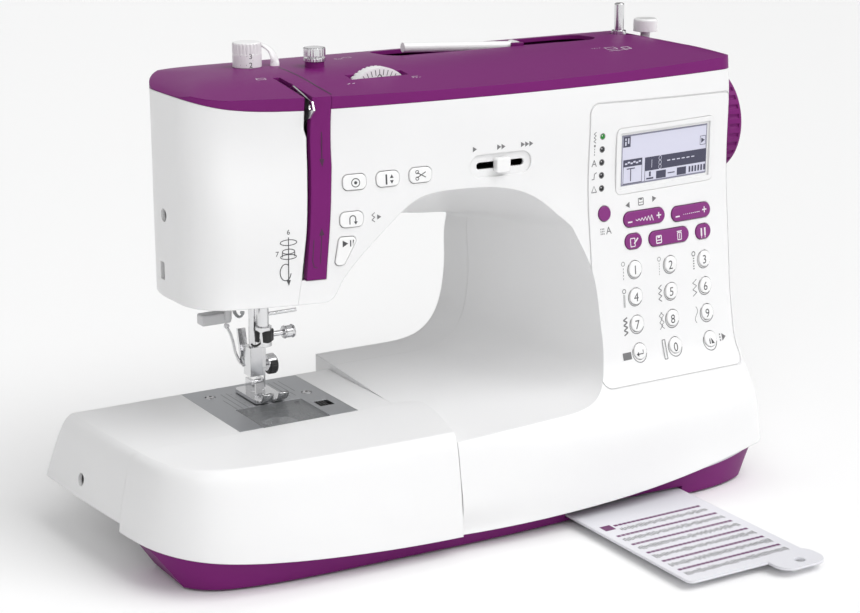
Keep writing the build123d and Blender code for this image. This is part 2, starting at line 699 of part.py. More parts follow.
def presser_foot():
    """All-purpose foot: two toes, a needle slot and a neck for the pin."""
    sole = box(NEEDLE_X - 9.5, NEEDLE_X + 9.5, -8.5, 22, 68.9, 71.0)
    sole = fillet(sole.edges().filter_by(Axis.Z), 3)
    sole = sole - (Pos(NEEDLE_X, 0, 60) * extrude(SlotOverall(8.4, 2.6), 20))
    sole = sole - box(NEEDLE_X - 1.3, NEEDLE_X + 1.3, -12, -1, 60, 80)
    cheeks = [box(x - 1, x + 1, 9.5, 17.5, 70.9, 77.6) for x in (PRESSER_X - 3.4, PRESSER_X + 3.4)]
    pin = rod((PRESSER_X - 4, PRESSER_Y - 0.5, 75.6), (1, 0, 0), 1.1, 8)
    return sole.fuse(*cheeks) + pin


def presser_lifter():
    """Lever behind the head that raises the presser bar."""
    boss = tube((16, 30, 158), (0, 1, 0), 6.0, 3.1, 6)
    arm = box(13, 19, 32, 36, 128, 154)
    grip = fillet(box(11, 21, 36, 54, 124, 130).edges(), 1.5)
    return boss + arm + grip


LEVER_X = 3.95
LEVER_THICK = 1.1


def take_up_lever():
    """Chrome take-up lever: it rises through the lid and its eye stands in the slot."""
    hub = tube((LEVER_X, -16, 216), (1, 0, 0), 6.0, 2.1, LEVER_THICK)
    arm = [(-20, 213), (-46, 236), (-60, 242), (-65, 247), (-63, 251.5)]
    arm = arm + [(-58, 252.5), (-41, 257), (-37, 255), (-50, 247), (-18, 220)]
    face = make_face(Polyline([(LEVER_X, y, z) for y, z in arm], close=True))
    lever = hub + extrude(face, LEVER_THICK, dir=(1, 0, 0))
    eye = rod((LEVER_X - 1, -61, 248), (1, 0, 0), 1.5, 4)
    return lever - eye - rod((LEVER_X - 1, -16, 216), (1, 0, 0), 2.1, 4)


def threader_lever():
    """Needle threader lever, left of the needle bar."""
    post = rod((-16, 6, 118), (0, 0, 1), 2.2, 60)
    grip = fillet(box(-32, -13.6, 6, 14, 115.5, 122).edges(), 1.2)
    return post + grip


# ---------------------------------------------------------------- top of the machine

def pressure_knob():
    """White presser pressure knob, bored for the top of the presser bar."""
    knob = rod((PRESSER_X, PRESSER_Y, KNOB_Z), (0, 0, 1), KNOB_R, 13.8)
    knob = fillet(knob.edges().group_by(Axis.Z)[-1], 1.2)
    for i in range(24):
        turn = math.radians(15 * i)
        x = PRESSER_X + (KNOB_R + 0.55) * math.cos(turn)
        y = PRESSER_Y + (KNOB_R + 0.55) * math.sin(turn)
        knob = knob - rod((x, y, KNOB_Z + 7.5), (0, 0, 1), 0.9, 8)
    stem = rod((PRESSER_X, PRESSER_Y, 253), (0, 0, 1), KNOB_STEM_R, KNOB_Z - 252.9)
    return knob + stem - rod((PRESSER_X, PRESSER_Y, 250), (0, 0, 1), KNOB_BORE, 13.5)


def tension_dial():
    """Thread tension wheel, half sunk in the lid."""
    wheel = rod((TENSION_X, TENSION_Y - 3.6, TENSION_Z), (0, 1, 0), TENSION_R, 7.2)
    wheel = wheel - rod((TENSION_X, TENSION_Y - 5, TENSION_Z), (0, 1, 0), 3.1, 10)
    for i in range(48):
        turn = math.radians(7.5 * i)
        x = TENSION_X + (TENSION_R + 0.35) * math.cos(turn)
        z = TENSION_Z + (TENSION_R + 0.35) * math.sin(turn)
        wheel = wheel - rod((x, TENSION_Y + 1.6, z), (0, 1, 0), 0.8, 3)
    return wheel


def spool_pin():
    """White spool pin that lies over the bay and swings up on its hub."""
    along = Vector(SPOOL_LEFT) - Vector(SPOOL_HINGE)
    pin = rod(SPOOL_HINGE, along, SPOOL_R, along.length)
    hub = extrude(Circle(SPOOL_HUB_R), 3.3, both=True)
    bore = extrude(Circle(1.5 + RUNNING), 8, both=True)
    return pin + spool_plane() * hub - spool_plane() * bore


def winder_spindle():
    """Chrome bobbin winder spindle."""
    foot = rod((WINDER_AT[0], WINDER_AT[1], 240), (0, 0, 1), 4.6, 22)
    pin = rod((WINDER_AT[0], WINDER_AT[1], 261), (0, 0, 1), 3.1, 18)
    pin = fillet(pin.edges().group_by(Axis.Z)[-1], 0.8)
    return foot + pin


def winder_stop():
    """White winder stop on its stem."""
    stem = rod((STOP_AT[0], STOP_AT[1], 250), (0, 0, 1), 3.0, 14)
    cap = rod((STOP_AT[0], STOP_AT[1], 260.4), (0, 0, 1), 7.6, 8)
    cap = fillet(cap.edges().group_by(Axis.Z)[-1], 1.6)
    return stem + cap


def thread_guides():
    """Chrome winding tension disc on its boss."""
    disc = rod((GUIDE_AT[0], GUIDE_AT[1], GUIDE_Z + 0.1), (0, 0, 1), GUIDE_R, 2)
    upper = rod((GUIDE_AT[0], GUIDE_AT[1], GUIDE_Z + 3), (0, 0, 1), GUIDE_R, 4.6)
    post = rod((GUIDE_AT[0], GUIDE_AT[1], 252), (0, 0, 1), 2.5, GUIDE_Z - 248)
    return disc + upper + post


HANDLE_X0 = 110.0
HANDLE_X1 = 250.0
HANDLE_Y = 56.3
HANDLE_Z = 246.0


def carry_handle():
    """Carrying handle folded down behind the machine."""
    bar = box(HANDLE_X0, HANDLE_X1, HANDLE_Y - 3.5, HANDLE_Y + 3.5, 212, 222)
    y0 = HANDLE_Y - 3.5
    y1 = HANDLE_Y + 3.5
    sides = [box(x, x + 12, y0, y1, 214, HANDLE_Z + 3.8) for x in (HANDLE_X0, HANDLE_X1 - 12)]
    handle = bar.fuse(*sides)
    return handle - rod((90, HANDLE_Y, HANDLE_Z), (1, 0, 0), 2.05, 200)


def handle_pins():
    """Two lugs of the rear cover that carry the handle."""
    pieces = []
    left = (HANDLE_X0 + 12.4, HANDLE_X0 + 18, HANDLE_X0 + 2)
    right = (HANDLE_X1 - 18, HANDLE_X1 - 12.4, HANDLE_X1 - 13)
    for x0, x1, pin_x in (left, right):
        lug = box(x0, x1, 49.0, HANDLE_Y + 3, HANDLE_Z - 5, HANDLE_Z - 0.2)
        lug = lug + rod((x0, HANDLE_Y, HANDLE_Z - 0.2), (1, 0, 0), 3.5, x1 - x0)
        pieces.append(lug + rod((pin_x, HANDLE_Y, HANDLE_Z), (1, 0, 0), 2.0, 11.5))
    return pieces


# ---------------------------------------------------------------- drive and inside

def handwheel():
    """Purple handwheel with a finger dimple and a ribbed rim."""
    wheel = rod((WHEEL_X, SHAFT_Y, SHAFT_Z), (1, 0, 0), WHEEL_R, WHEEL_WIDTH)
    wheel = fillet(wheel.edges().filter_by(GeomType.CIRCLE), 2.5)
    wheel = wheel - rod((WHEEL_X + WHEEL_WIDTH - 3, SHAFT_Y, SHAFT_Z), (1, 0, 0), 28, 10)
    wheel = wheel - rod((WHEEL_X - 1, SHAFT_Y, SHAFT_Z), (1, 0, 0), SHAFT_R, WHEEL_WIDTH + 3)
    for i in range(36):
        turn = math.radians(10 * i)
        y = SHAFT_Y + (WHEEL_R + 0.6) * math.cos(turn)
        z = SHAFT_Z + (WHEEL_R + 0.6) * math.sin(turn)
        wheel = wheel - rod((WHEEL_X + 3, y, z), (1, 0, 0), 1.6, WHEEL_WIDTH - 6)
    return wheel


CRANK_X = 8.2
PULLEY_X = 276.0
PULLEY_R = 30.0


def upper_shaft():
    """Main shaft with its belt pulley and the crank disc at the needle end."""
    start = CRANK_X + 1
    length = WHEEL_X + WHEEL_WIDTH - 4 - start
    shaft = rod((start, SHAFT_Y, SHAFT_Z), (1, 0, 0), SHAFT_R, length)
    disc = rod((CRANK_X, SHAFT_Y, SHAFT_Z), (1, 0, 0), 15, 4)
    pulley = tube((PULLEY_X, SHAFT_Y, SHAFT_Z), (1, 0, 0), PULLEY_R, SHAFT_R, 10)
    groove = tube((PULLEY_X + 1.5, SHAFT_Y, SHAFT_Z), (1, 0, 0), PULLEY_R + 1, PULLEY_R - 2, 7)
    return shaft + disc + (pulley - groove)


def motor():
    """Motor at the foot of the column, with its small pulley."""
    can = rod((206, -12, 78), (1, 0, 0), 27, 56)
    nose = rod((262, -12, 78), (1, 0, 0), 9, 6)
    axle = rod((268, -12, 78), (1, 0, 0), 3, 18)
    pulley = rod((PULLEY_X, -12, 78), (1, 0, 0), 8, 10)
    return can + nose + axle + pulley


def chassis():
    """Cast frame: spine, column, bed beam, shaft bearings and needle-bar bushes."""
    spine = box(-24, 284, 24, 27, 171, 236)
    column = box(196, 284, 24, 27.5, 24, 236)
    beam = box(-92, 200, 20, 26, 36, 60)
    foot = box(86, 276, -62, 27.5, 20, 24)
    web = box(196, 202, -30, 27, 24, 100)
    frame = spine.fuse(column, beam, foot, web)
    for x in (24, 150, 262):
        frame = frame + box(x, x + 8, -24, 25, 194, 222)
    for z in (152, 224):
        frame = frame + box(-9, 13, -7, 26, z, z + 7)
    frame = frame + box(-9, -6.5, -7, 26, 152, 231)
    frame = frame + box(-20, 22, -40, 24, 32.4, 36.4)
    frame = frame + rod((HOOK_X, HOOK_Y, 36), (0, 0, 1), 7, 3.2)
    cuts = [
        rod((-5, SHAFT_Y, SHAFT_Z), (1, 0, 0), SHAFT_R + RUNNING, 310),
        rod((NEEDLE_X, 0, 100), (0, 0, 1), NEEDLE_BAR_R + RUNNING, 150),
        rod((PRESSER_X, PRESSER_Y, 100), (0, 0, 1), PRESSER_BAR_R + RUNNING, 160),
        box(170, 180, -30, 20, 0, 30),
    ]
    frame = frame.cut(*cuts)
    lifter_axle = rod((16, 26, 158), (0, 1, 0), 3.05, 11)
    return frame + lifter_axle + box(11, 21, 24, 28, 153, 168)


def display_module():
    """Screen in its frame, and the control board behind the keys."""
    plane = on_front(SCREEN[0], SCREEN[1])
    frame = extrude(RectangleRounded(SCREEN[2] - 0.3, SCREEN[3] - 0.3, 3.8), 7.6)
    window = Rectangle(SCREEN[2] - 2 * SCREEN_RIM, SCREEN[3] - 2 * SCREEN_RIM)
    frame = frame - Pos(0, 0, 6.4) * extrude(window, 5)
    frame = plane * (Pos(0, 0, -7.5) * frame)
    board = box(184, 286, -47.0, -45.4, 76, 226)
    stand = box(215, 262, -52, -46.9, 190, 210)
    return [frame + stand, board]


def speed_slider():
    """Speed slider knob with its stem behind the cover."""
    knob = extrude(RectangleRounded(SLIDER_KNOB[0], SLIDER_KNOB[1], 1.5), 4.2)
    knob = fillet(knob.edges().group_by(Axis.Z)[-1], 0.8)
    stem = Pos(0, 0, -5.0) * extrude(Rectangle(4.5, 3.2), 6)
    return on_front(SLIDER[0], SLIDER[1]) * (Pos(0, 0, -0.9) * knob + stem)


INLET_Y = 6.0
INLET_Z = 52.0
SWITCH_Z = 84.0


def power_cutouts():
    """Openings in the right-hand side for the mains inlet and the switch."""
    inlet = box(280, 310, INLET_Y - 12, INLET_Y + 12, INLET_Z - 9, INLET_Z + 9)
    switch = box(280, 310, INLET_Y - 7, INLET_Y + 7, SWITCH_Z - 11, SWITCH_Z + 11)
    return inlet + switch


def power_inlet():
    """Mains inlet: a black socket let into the side."""
    body = box(276, 294.5, INLET_Y - 11.8, INLET_Y + 11.8, INLET_Z - 8.8, INLET_Z + 8.8)
    mouth = box(284, 300, INLET_Y - 8.5, INLET_Y + 8.5, INLET_Z - 5.5, INLET_Z + 5.5)
    body = body - mouth
    for y in (-4.5, 4.5):
        body = body + rod((283, INLET_Y + y, INLET_Z), (1, 0, 0), 1.2, 9)
    return body


def power_switch():
    """Rocker of the mains switch."""
    rocker = box(288, 296.8, INLET_Y - 6.5, INLET_Y + 6.5, SWITCH_Z - 10, SWITCH_Z + 10)
    return fillet(rocker.edges().filter_by(Axis.Y), 1.5)


# ---------------------------------------------------------------- write every piece

SHELL = white_shell()
REAR_LUGS = handle_pins()

PIECES = {
    "front_cover": front_cover(SHELL),
    "rear_cover": rear_cover(SHELL).fuse(*REAR_LUGS),
    "face_cover": face_cover(SHELL),
    "top_cover": top_cover(),
    "thread_strip": strip_cover(),
    "free_arm_cover": free_arm_cover(),
    "accessory_box": accessory_box(),
    "base_tray": base_tray(),
    "feet": feet(),
    "stitch_card": stitch_card(),
    "needle_plate": needle_plate(),
    "bobbin_cover": bobbin_cover(),
    "cover_release": cover_release(),
    "hook": hook(),
    "bobbin": bobbin(),
    "feed_dog": feed_dog(),
    "needle_bar": needle_bar(),
    "presser_bar": presser_bar(),
    "presser_foot": presser_foot(),
    "presser_lifter": presser_lifter(),
    "take_up_lever": take_up_lever(),
    "threader_lever": threader_lever(),
    "pressure_knob": pressure_knob(),
    "tension_dial": tension_dial(),
    "spool_pin": spool_pin(),
    "winder_spindle": winder_spindle(),
    "winder_stop": winder_stop(),
    "thread_guides": thread_guides(),
    "carry_handle": carry_handle(),
    "handwheel": handwheel(),
    "upper_shaft": upper_shaft(),
    "motor": motor(),
    "chassis": chassis(),
    "display_module": display_module(),
    "speed_slider": speed_slider(),
    "power_inlet": power_inlet(),
    "power_switch": power_switch(),
}
for name in KEY_NAMES:
    PIECES[name] = key(name)

os.makedirs("parts", exist_ok=True)
for name, piece in PIECES.items():
    solids = piece if isinstance(piece, list) else piece.solids()
    solids = [solid for item in solids for solid in item.solids()]
    whole = Pos(*ORIGIN) * Compound(children=solids)
    whole.label = name
    export_step(whole, f"parts/{name}.step")
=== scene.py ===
import math
import bpy
import numpy as np
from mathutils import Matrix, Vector


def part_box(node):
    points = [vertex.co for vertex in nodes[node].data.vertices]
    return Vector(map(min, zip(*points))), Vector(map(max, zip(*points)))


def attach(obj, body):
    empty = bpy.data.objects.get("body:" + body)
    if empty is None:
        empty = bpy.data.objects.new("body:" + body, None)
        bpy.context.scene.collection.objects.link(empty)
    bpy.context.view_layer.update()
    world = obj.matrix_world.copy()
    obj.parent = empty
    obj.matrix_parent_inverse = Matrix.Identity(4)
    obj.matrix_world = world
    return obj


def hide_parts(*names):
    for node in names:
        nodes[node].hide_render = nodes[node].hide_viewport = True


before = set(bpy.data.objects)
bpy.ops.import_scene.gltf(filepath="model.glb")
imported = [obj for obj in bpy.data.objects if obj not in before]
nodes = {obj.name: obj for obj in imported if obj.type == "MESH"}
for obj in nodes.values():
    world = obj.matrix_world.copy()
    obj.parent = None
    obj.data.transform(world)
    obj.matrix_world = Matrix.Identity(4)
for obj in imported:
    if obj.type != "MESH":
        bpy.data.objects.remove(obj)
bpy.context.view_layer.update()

# ------------------------------------------------------------------ place and studio
# Everything is laid out from the needle, in millimetres: right, back and up from the point
# where the needle meets the table. The pressure knob stands over the presser bar, so it gives
# that point. The machine stands on a pale table in soft light from overhead and the front.
KNOB_OFFSET = Vector((3.9, 14.0, 0.0))
knob_low, knob_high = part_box("pressure_knob")
NEEDLE = (knob_low + knob_high) / 2 * 1000 - KNOB_OFFSET
NEEDLE.z = 0.0


def row(points):
    """Row-frame metres of points given in millimetres from the needle."""
    return (np.asarray(points, float) + np.array(NEEDLE)) / 1000


def spot(x, y, z):
    """One such point as a vector."""
    return Vector(row((x, y, z)))


CAMERA_AT = (-483.3, -995.8, 428.5)
CAMERA_DOWN = 15.41
CAMERA_TURN = -31.0
camera_data = bpy.data.cameras.new("camera")
camera_data.lens = 83.72
camera_data.sensor_width = 36.0
camera = bpy.data.objects.new("camera", camera_data)
bpy.context.scene.collection.objects.link(camera)
camera.location = spot(*CAMERA_AT)
camera.rotation_euler = (math.radians(90 - CAMERA_DOWN), 0, math.radians(CAMERA_TURN))
bpy.context.scene.camera = camera


def area_light(name, at, aim, size, power, colour=(1, 1, 1)):
    """Square soft light at one point, facing another."""
    data = bpy.data.lights.new(name, "AREA")
    data.size = size
    data.energy = power
    data.color = colour
    light = bpy.data.objects.new(name, data)
    bpy.context.scene.collection.objects.link(light)
    light.location = spot(*at)
    facing = spot(*aim) - light.location
    light.rotation_euler = facing.to_track_quat("-Z", "Y").to_euler()
    return light


def studio_sun(name, out_of, strength, spread):
    """Distant soft light that shines from one direction, evenly over the whole table."""
    data = bpy.data.lights.new(name, "SUN")
    data.energy = strength
    data.angle = math.radians(spread)
    light = bpy.data.objects.new(name, data)
    bpy.context.scene.collection.objects.link(light)
    light.rotation_euler = Vector(out_of).to_track_quat("Z", "Y").to_euler()
    return light


studio_sun("key_light", (0.45, -0.50, 0.95), 1.90, 50)
studio_sun("fill_light", (-0.35, -0.9, 0.5), 0.42, 60)
area_light("head_strip", (-700, -900, 900), (20, -40, 230), 0.5, 1.6)


def studio_world():
    """Even white surroundings overhead, broken by soft dark flats low down, which metal mirrors."""
    world = bpy.data.worlds.new("studio")
    world.use_nodes = True
    build, link = world.node_tree.nodes, world.node_tree.links
    where = build.new("ShaderNodeTexCoord")
    axes = build.new("ShaderNodeSeparateXYZ")
    link.new(where.outputs["Generated"], axes.inputs[0])
    flats = build.new("ShaderNodeTexNoise")
    flats.inputs["Scale"].default_value = 2.6
    flats.inputs["Detail"].default_value = 0.0
    link.new(where.outputs["Generated"], flats.inputs["Vector"])
    dark = build.new("ShaderNodeMapRange")
    dark.inputs["From Min"].default_value = 0.47
    dark.inputs["From Max"].default_value = 0.54
    dark.inputs["To Min"].default_value = 0.02
    dark.inputs["To Max"].default_value = 0.75
    link.new(flats.outputs["Fac"], dark.inputs["Value"])
    height = build.new("ShaderNodeMapRange")
    height.inputs["From Min"].default_value = 0.25
    height.inputs["From Max"].default_value = 0.5
    link.new(axes.outputs["Z"], height.inputs["Value"])
    blend = build.new("ShaderNodeMix")
    blend.inputs["B"].default_value = 0.52
    link.new(height.outputs["Result"], blend.inputs["Factor"])
    link.new(dark.outputs["Result"], blend.inputs["A"])
    link.new(blend.outputs["Result"], build["Background"].inputs["Strength"])
    build["Background"].inputs["Color"].default_value = (1, 1, 1, 1)
    return world


world = studio_world()
bpy.context.scene.world = world
bpy.context.scene.view_settings.view_transform = "Standard"


# ------------------------------------------------------------------ table top
# A plain pale table, big enough to fill the view and to take the machine's shadow.
def mesh_piece(name, vertices, faces, material=None, smooth=True):
    """Mesh object from an array of vertices in metres and a list of faces."""
    data = bpy.data.meshes.new(name)
    data.from_pydata(np.asarray(vertices, float).tolist(), [], faces)
    data.update()
    if smooth:
        data.polygons.foreach_set("use_smooth", np.ones(len(data.polygons), bool))
    piece = bpy.data.objects.new(name, data)
    bpy.context.scene.collection.objects.link(piece)
    if material:
        data.materials.append(material)
    return piece


def grid_faces(rows, columns, closed=False):
    """Quads of a grid of rows by columns, joined round the columns if it is closed."""
    across = columns if closed else columns - 1
    i, j = np.meshgrid(np.arange(rows - 1), np.arange(across), indexing="ij")
    k = (j + 1) % columns
    quads = np.stack([i * columns + j, i * columns + k, (i + 1) * columns + k, (i + 1) * columns + j], -1)
    return quads.reshape(-1, 4).tolist()


def principled(name, colour, roughness, metallic=0.0):
    """Material with one Principled shader: returns it, its nodes, its links and the shader."""
    material = bpy.data.materials.new(name)
    material.use_nodes = True
    tree = material.node_tree
    shader = tree.nodes["Principled BSDF"]
    shader.inputs["Base Color"].default_value = (*colour, 1)
    shader.inputs["Roughness"].default_value = roughness
    shader.inputs["Metallic"].default_value = metallic
    return material, tree.nodes, tree.links, shader


TABLE_HALF = 6000
table_material = principled("pale_table", (0.93, 0.93, 0.93), 0.6)[0]
corner = np.linspace(-TABLE_HALF, TABLE_HALF, 3)
table_x, table_y = np.meshgrid(corner, corner, indexing="ij")
table_points = np.stack([table_x, table_y, np.zeros_like(table_x)], -1).reshape(-1, 3)
table = mesh_piece("table_top", row(table_points), grid_faces(3, 3), table_material)


# ------------------------------------------------------------------ moulded plastics
# The housings are injection moulded: satin white and satin purple, with the fine spark-eroded
# grain of the tool. Keys and knobs are smoother. Edges are softened where two faces meet.
def moulded_grain_group():
    """Node group: fine grain height and a slow drift of roughness and of shade over the surface."""
    group = bpy.data.node_groups.new("moulded_grain", "ShaderNodeTree")
    face = group.interface
    face.new_socket("Grain Scale", in_out="INPUT", socket_type="NodeSocketFloat")
    face.new_socket("Roughness", in_out="INPUT", socket_type="NodeSocketFloat")
    face.new_socket("Drift", in_out="INPUT", socket_type="NodeSocketFloat")
    face.new_socket("Roughness", in_out="OUTPUT", socket_type="NodeSocketFloat")
    face.new_socket("Height", in_out="OUTPUT", socket_type="NodeSocketFloat")
    face.new_socket("Shade", in_out="OUTPUT", socket_type="NodeSocketFloat")
    build, link = group.nodes, group.links
    inside = build.new("NodeGroupInput")
    outside = build.new("NodeGroupOutput")
    where = build.new("ShaderNodeTexCoord")
    grain = build.new("ShaderNodeTexNoise")
    grain.inputs["Detail"].default_value = 2.0
    link.new(where.outputs["Object"], grain.inputs["Vector"])
    link.new(inside.outputs["Grain Scale"], grain.inputs["Scale"])
    slow = build.new("ShaderNodeTexNoise")
    slow.inputs["Scale"].default_value = 22.0
    slow.inputs["Detail"].default_value = 4.0
    link.new(where.outputs["Object"], slow.inputs["Vector"])
    swing = build.new("ShaderNodeMath")
    swing.operation = "MULTIPLY_ADD"
    swing.inputs[2].default_value = 0.0
    centred = build.new("ShaderNodeMath")
    centred.operation = "SUBTRACT"
    centred.inputs[1].default_value = 0.5
    link.new(slow.outputs["Fac"], centred.inputs[0])
    link.new(centred.outputs[0], swing.inputs[0])
    link.new(inside.outputs["Drift"], swing.inputs[1])
    total = build.new("ShaderNodeMath")
    total.operation = "ADD"
    link.new(swing.outputs[0], total.inputs[0])
    link.new(inside.outputs["Roughness"], total.inputs[1])
    link.new(total.outputs[0], outside.inputs["Roughness"])
    link.new(grain.outputs["Fac"], outside.inputs["Height"])
    link.new(slow.outputs["Fac"], outside.inputs["Shade"])
    return group


MOULDED_GRAIN = moulded_grain_group()
MATT_SPECULAR = 0.12


def moulded(name, colour, shade, roughness, grain=2600.0, depth=0.000012, soft_edge=0.0007, coat=0.0):
    """Moulded plastic: its colour drifts towards a second shade, grain in the bump, soft edges."""
    material, build, link, shader = principled(name, colour, roughness)
    group = build.new("ShaderNodeGroup")
    group.node_tree = MOULDED_GRAIN
    group.inputs["Grain Scale"].default_value = grain
    group.inputs["Roughness"].default_value = roughness
    group.inputs["Drift"].default_value = 0.12
    tint = build.new("ShaderNodeMix")
    tint.data_type = "RGBA"
    tint.inputs["A"].default_value = (*colour, 1)
    tint.inputs["B"].default_value = (*shade, 1)
    link.new(group.outputs["Shade"], tint.inputs["Factor"])
    link.new(tint.outputs["Result"], shader.inputs["Base Color"])
    link.new(group.outputs["Roughness"], shader.inputs["Roughness"])
    bump = build.new("ShaderNodeBump")
    bump.inputs["Strength"].default_value = 0.35
    bump.inputs["Distance"].default_value = depth
    link.new(group.outputs["Height"], bump.inputs["Height"])
    if soft_edge:
        edge = build.new("ShaderNodeBevel")
        edge.samples = 6
        edge.inputs["Radius"].default_value = soft_edge
        link.new(edge.outputs["Normal"], bump.inputs["Normal"])
    link.new(bump.outputs["Normal"], shader.inputs["Normal"])
    shader.inputs["Coat Weight"].default_value = coat
    shader.inputs["Coat Roughness"].default_value = 0.18
    return material


WHITE = moulded("white_housing", (0.78, 0.78, 0.785), (0.81, 0.81, 0.812), 0.36)
PURPLE = moulded("purple_housing", (0.160, 0.012, 0.135), (0.178, 0.016, 0.150), 0.40)
PURPLE_KEY = moulded("purple_key", (0.21, 0.035, 0.185), (0.23, 0.04, 0.2), 0.3, soft_edge=0.0004, coat=0.2)
WHITE_KEY = moulded("white_key", (0.83, 0.83, 0.83), (0.85, 0.85, 0.85), 0.28, soft_edge=0.0004, coat=0.2)
GREY = moulded("grey_plastic", (0.42, 0.43, 0.44), (0.46, 0.47, 0.48), 0.38)
BLACK = moulded("black_plastic", (0.012, 0.012, 0.013), (0.02, 0.02, 0.02), 0.42)
RUBBER = moulded("foot_rubber", (0.02, 0.02, 0.02), (0.035, 0.035, 0.035), 0.8, grain=900, depth=0.00005)
for purple in (PURPLE, PURPLE_KEY):
    purple.node_tree.nodes["Principled BSDF"].inputs["Specular IOR Level"].default_value = MATT_SPECULAR


def dress(material, *names):
    """Gives CAD nodes one material."""
    for name in names:
        mesh = nodes[name].data
        mesh.materials.clear()
        mesh.materials.append(material)


def fair(name, body, material, angle=32.0):
    """Smooth-shaded copy of a CAD cover: its corners merged, its sharp edges kept sharp."""
    copy = nodes[name].copy()
    copy.data = nodes[name].data.copy()
    copy.name = name + "_faired"
    for key in list(copy.keys()):
        del copy[key]
    bpy.context.scene.collection.objects.link(copy)
    copy.data.materials.clear()
    copy.data.materials.append(material)
    weld = copy.modifiers.new("weld", "WELD")
    weld.merge_threshold = 0.00001
    bpy.context.view_layer.update()
    graph = bpy.context.evaluated_depsgraph_get()
    mesh = bpy.data.meshes.new_from_object(copy.evaluated_get(graph))
    copy.modifiers.clear()
    copy.data = mesh
    if mesh.has_custom_normals:
        mesh.attributes.remove(mesh.attributes["custom_normal"])
    mesh.polygons.foreach_set("use_smooth", np.ones(len(mesh.polygons), bool))
    mesh.set_sharp_from_angle(angle=math.radians(angle))
    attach(copy, body)
    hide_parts(name)
    return copy


dress(WHITE, "front_cover", "rear_cover", "face_cover", "free_arm_cover", "accessory_box")
dress(PURPLE, "top_cover", "thread_strip", "handwheel", "carry_handle")
fair("top_cover", "machine", PURPLE)
dress(BLACK, "motor", "power_inlet", "power_switch", "cover_release")
dress(RUBBER, "feet")
dress(WHITE_KEY, "pressure_knob", "tension_dial", "spool_pin", "winder_stop", "speed_slider")
dress(moulded("light_grey_plastic", (0.60, 0.60, 0.61), (0.64, 0.64, 0.65), 0.4), "threader_lever",
      "presser_lifter")


# ------------------------------------------------------------------ base tray
# The purple tray is one moulding. Its upper rim is painted light grey, so a fine pale line runs
# between the white covers and the purple. The rim follows the arc that ends the white covers.
RIM_MIDDLE = 88.0
RIM_LOW = 10.6
RIM_CURVE = 2805.0
RIM_WIDTH = 1.5


def tray_material():
    """Purple plastic with a light-grey band above the arc: height = low + distance squared / curve."""
    material = PURPLE.copy()
    material.name = "purple_tray"
    build, link = material.node_tree.nodes, material.node_tree.links
    shader = build["Principled BSDF"]
    tint = shader.inputs["Base Color"].links[0].from_node
    where = build.new("ShaderNodeTexCoord")
    place = build.new("ShaderNodeMapping")
    place.inputs["Location"].default_value = Vector(-row((RIM_MIDDLE, 0, RIM_LOW - RIM_WIDTH)))
    link.new(where.outputs["Object"], place.inputs["Vector"])
    axes = build.new("ShaderNodeSeparateXYZ")
    link.new(place.outputs["Vector"], axes.inputs[0])
    squared = build.new("ShaderNodeMath")
    squared.operation = "MULTIPLY"
    link.new(axes.outputs["X"], squared.inputs[0])
    link.new(axes.outputs["X"], squared.inputs[1])
    above = build.new("ShaderNodeMath")
    above.operation = "MULTIPLY_ADD"
    above.inputs[1].default_value = -1000.0 / RIM_CURVE
    link.new(squared.outputs[0], above.inputs[0])
    link.new(axes.outputs["Z"], above.inputs[2])
    edge = build.new("ShaderNodeMapRange")
    edge.inputs["From Min"].default_value = -0.0001
    edge.inputs["From Max"].default_value = 0.0001
    link.new(above.outputs[0], edge.inputs["Value"])
    paint = build.new("ShaderNodeMix")
    paint.data_type = "RGBA"
    paint.inputs["B"].default_value = (0.62, 0.62, 0.66, 1)
    link.new(edge.outputs["Result"], paint.inputs["Factor"])
    link.new(tint.outputs["Result"], paint.inputs["A"])
    link.new(paint.outputs["Result"], shader.inputs["Base Color"])
    return material


dress(tray_material(), "base_tray")


# ------------------------------------------------------------------ metal fittings
# Needle bar, presser bar, foot, take-up lever and winder are plated steel. The needle plate
# is brushed lengthways, and the frame inside is cast.
def metal(name, colour, roughness, stretch=(1, 1, 1), scale=900.0, depth=0.00001, soft_edge=0.0003):
    """Bare metal: fine streaks from noise that is stretched along one axis."""
    material, build, link, shader = principled(name, colour, roughness, 1.0)
    where = build.new("ShaderNodeTexCoord")
    place = build.new("ShaderNodeMapping")
    place.inputs["Scale"].default_value = stretch
    streak = build.new("ShaderNodeTexNoise")
    streak.inputs["Scale"].default_value = scale
    streak.inputs["Detail"].default_value = 3.0
    link.new(where.outputs["Object"], place.inputs["Vector"])
    link.new(place.outputs["Vector"], streak.inputs["Vector"])
    spread = build.new("ShaderNodeMapRange")
    spread.inputs["To Min"].default_value = max(roughness - 0.06, 0.03)
    spread.inputs["To Max"].default_value = roughness + 0.08
    link.new(streak.outputs["Fac"], spread.inputs["Value"])
    link.new(spread.outputs["Result"], shader.inputs["Roughness"])
    bump = build.new("ShaderNodeBump")
    bump.inputs["Strength"].default_value = 0.3
    bump.inputs["Distance"].default_value = depth
    edge = build.new("ShaderNodeBevel")
    edge.samples = 6
    edge.inputs["Radius"].default_value = soft_edge
    link.new(edge.outputs["Normal"], bump.inputs["Normal"])
    link.new(streak.outputs["Fac"], bump.inputs["Height"])
    link.new(bump.outputs["Normal"], shader.inputs["Normal"])
    return material


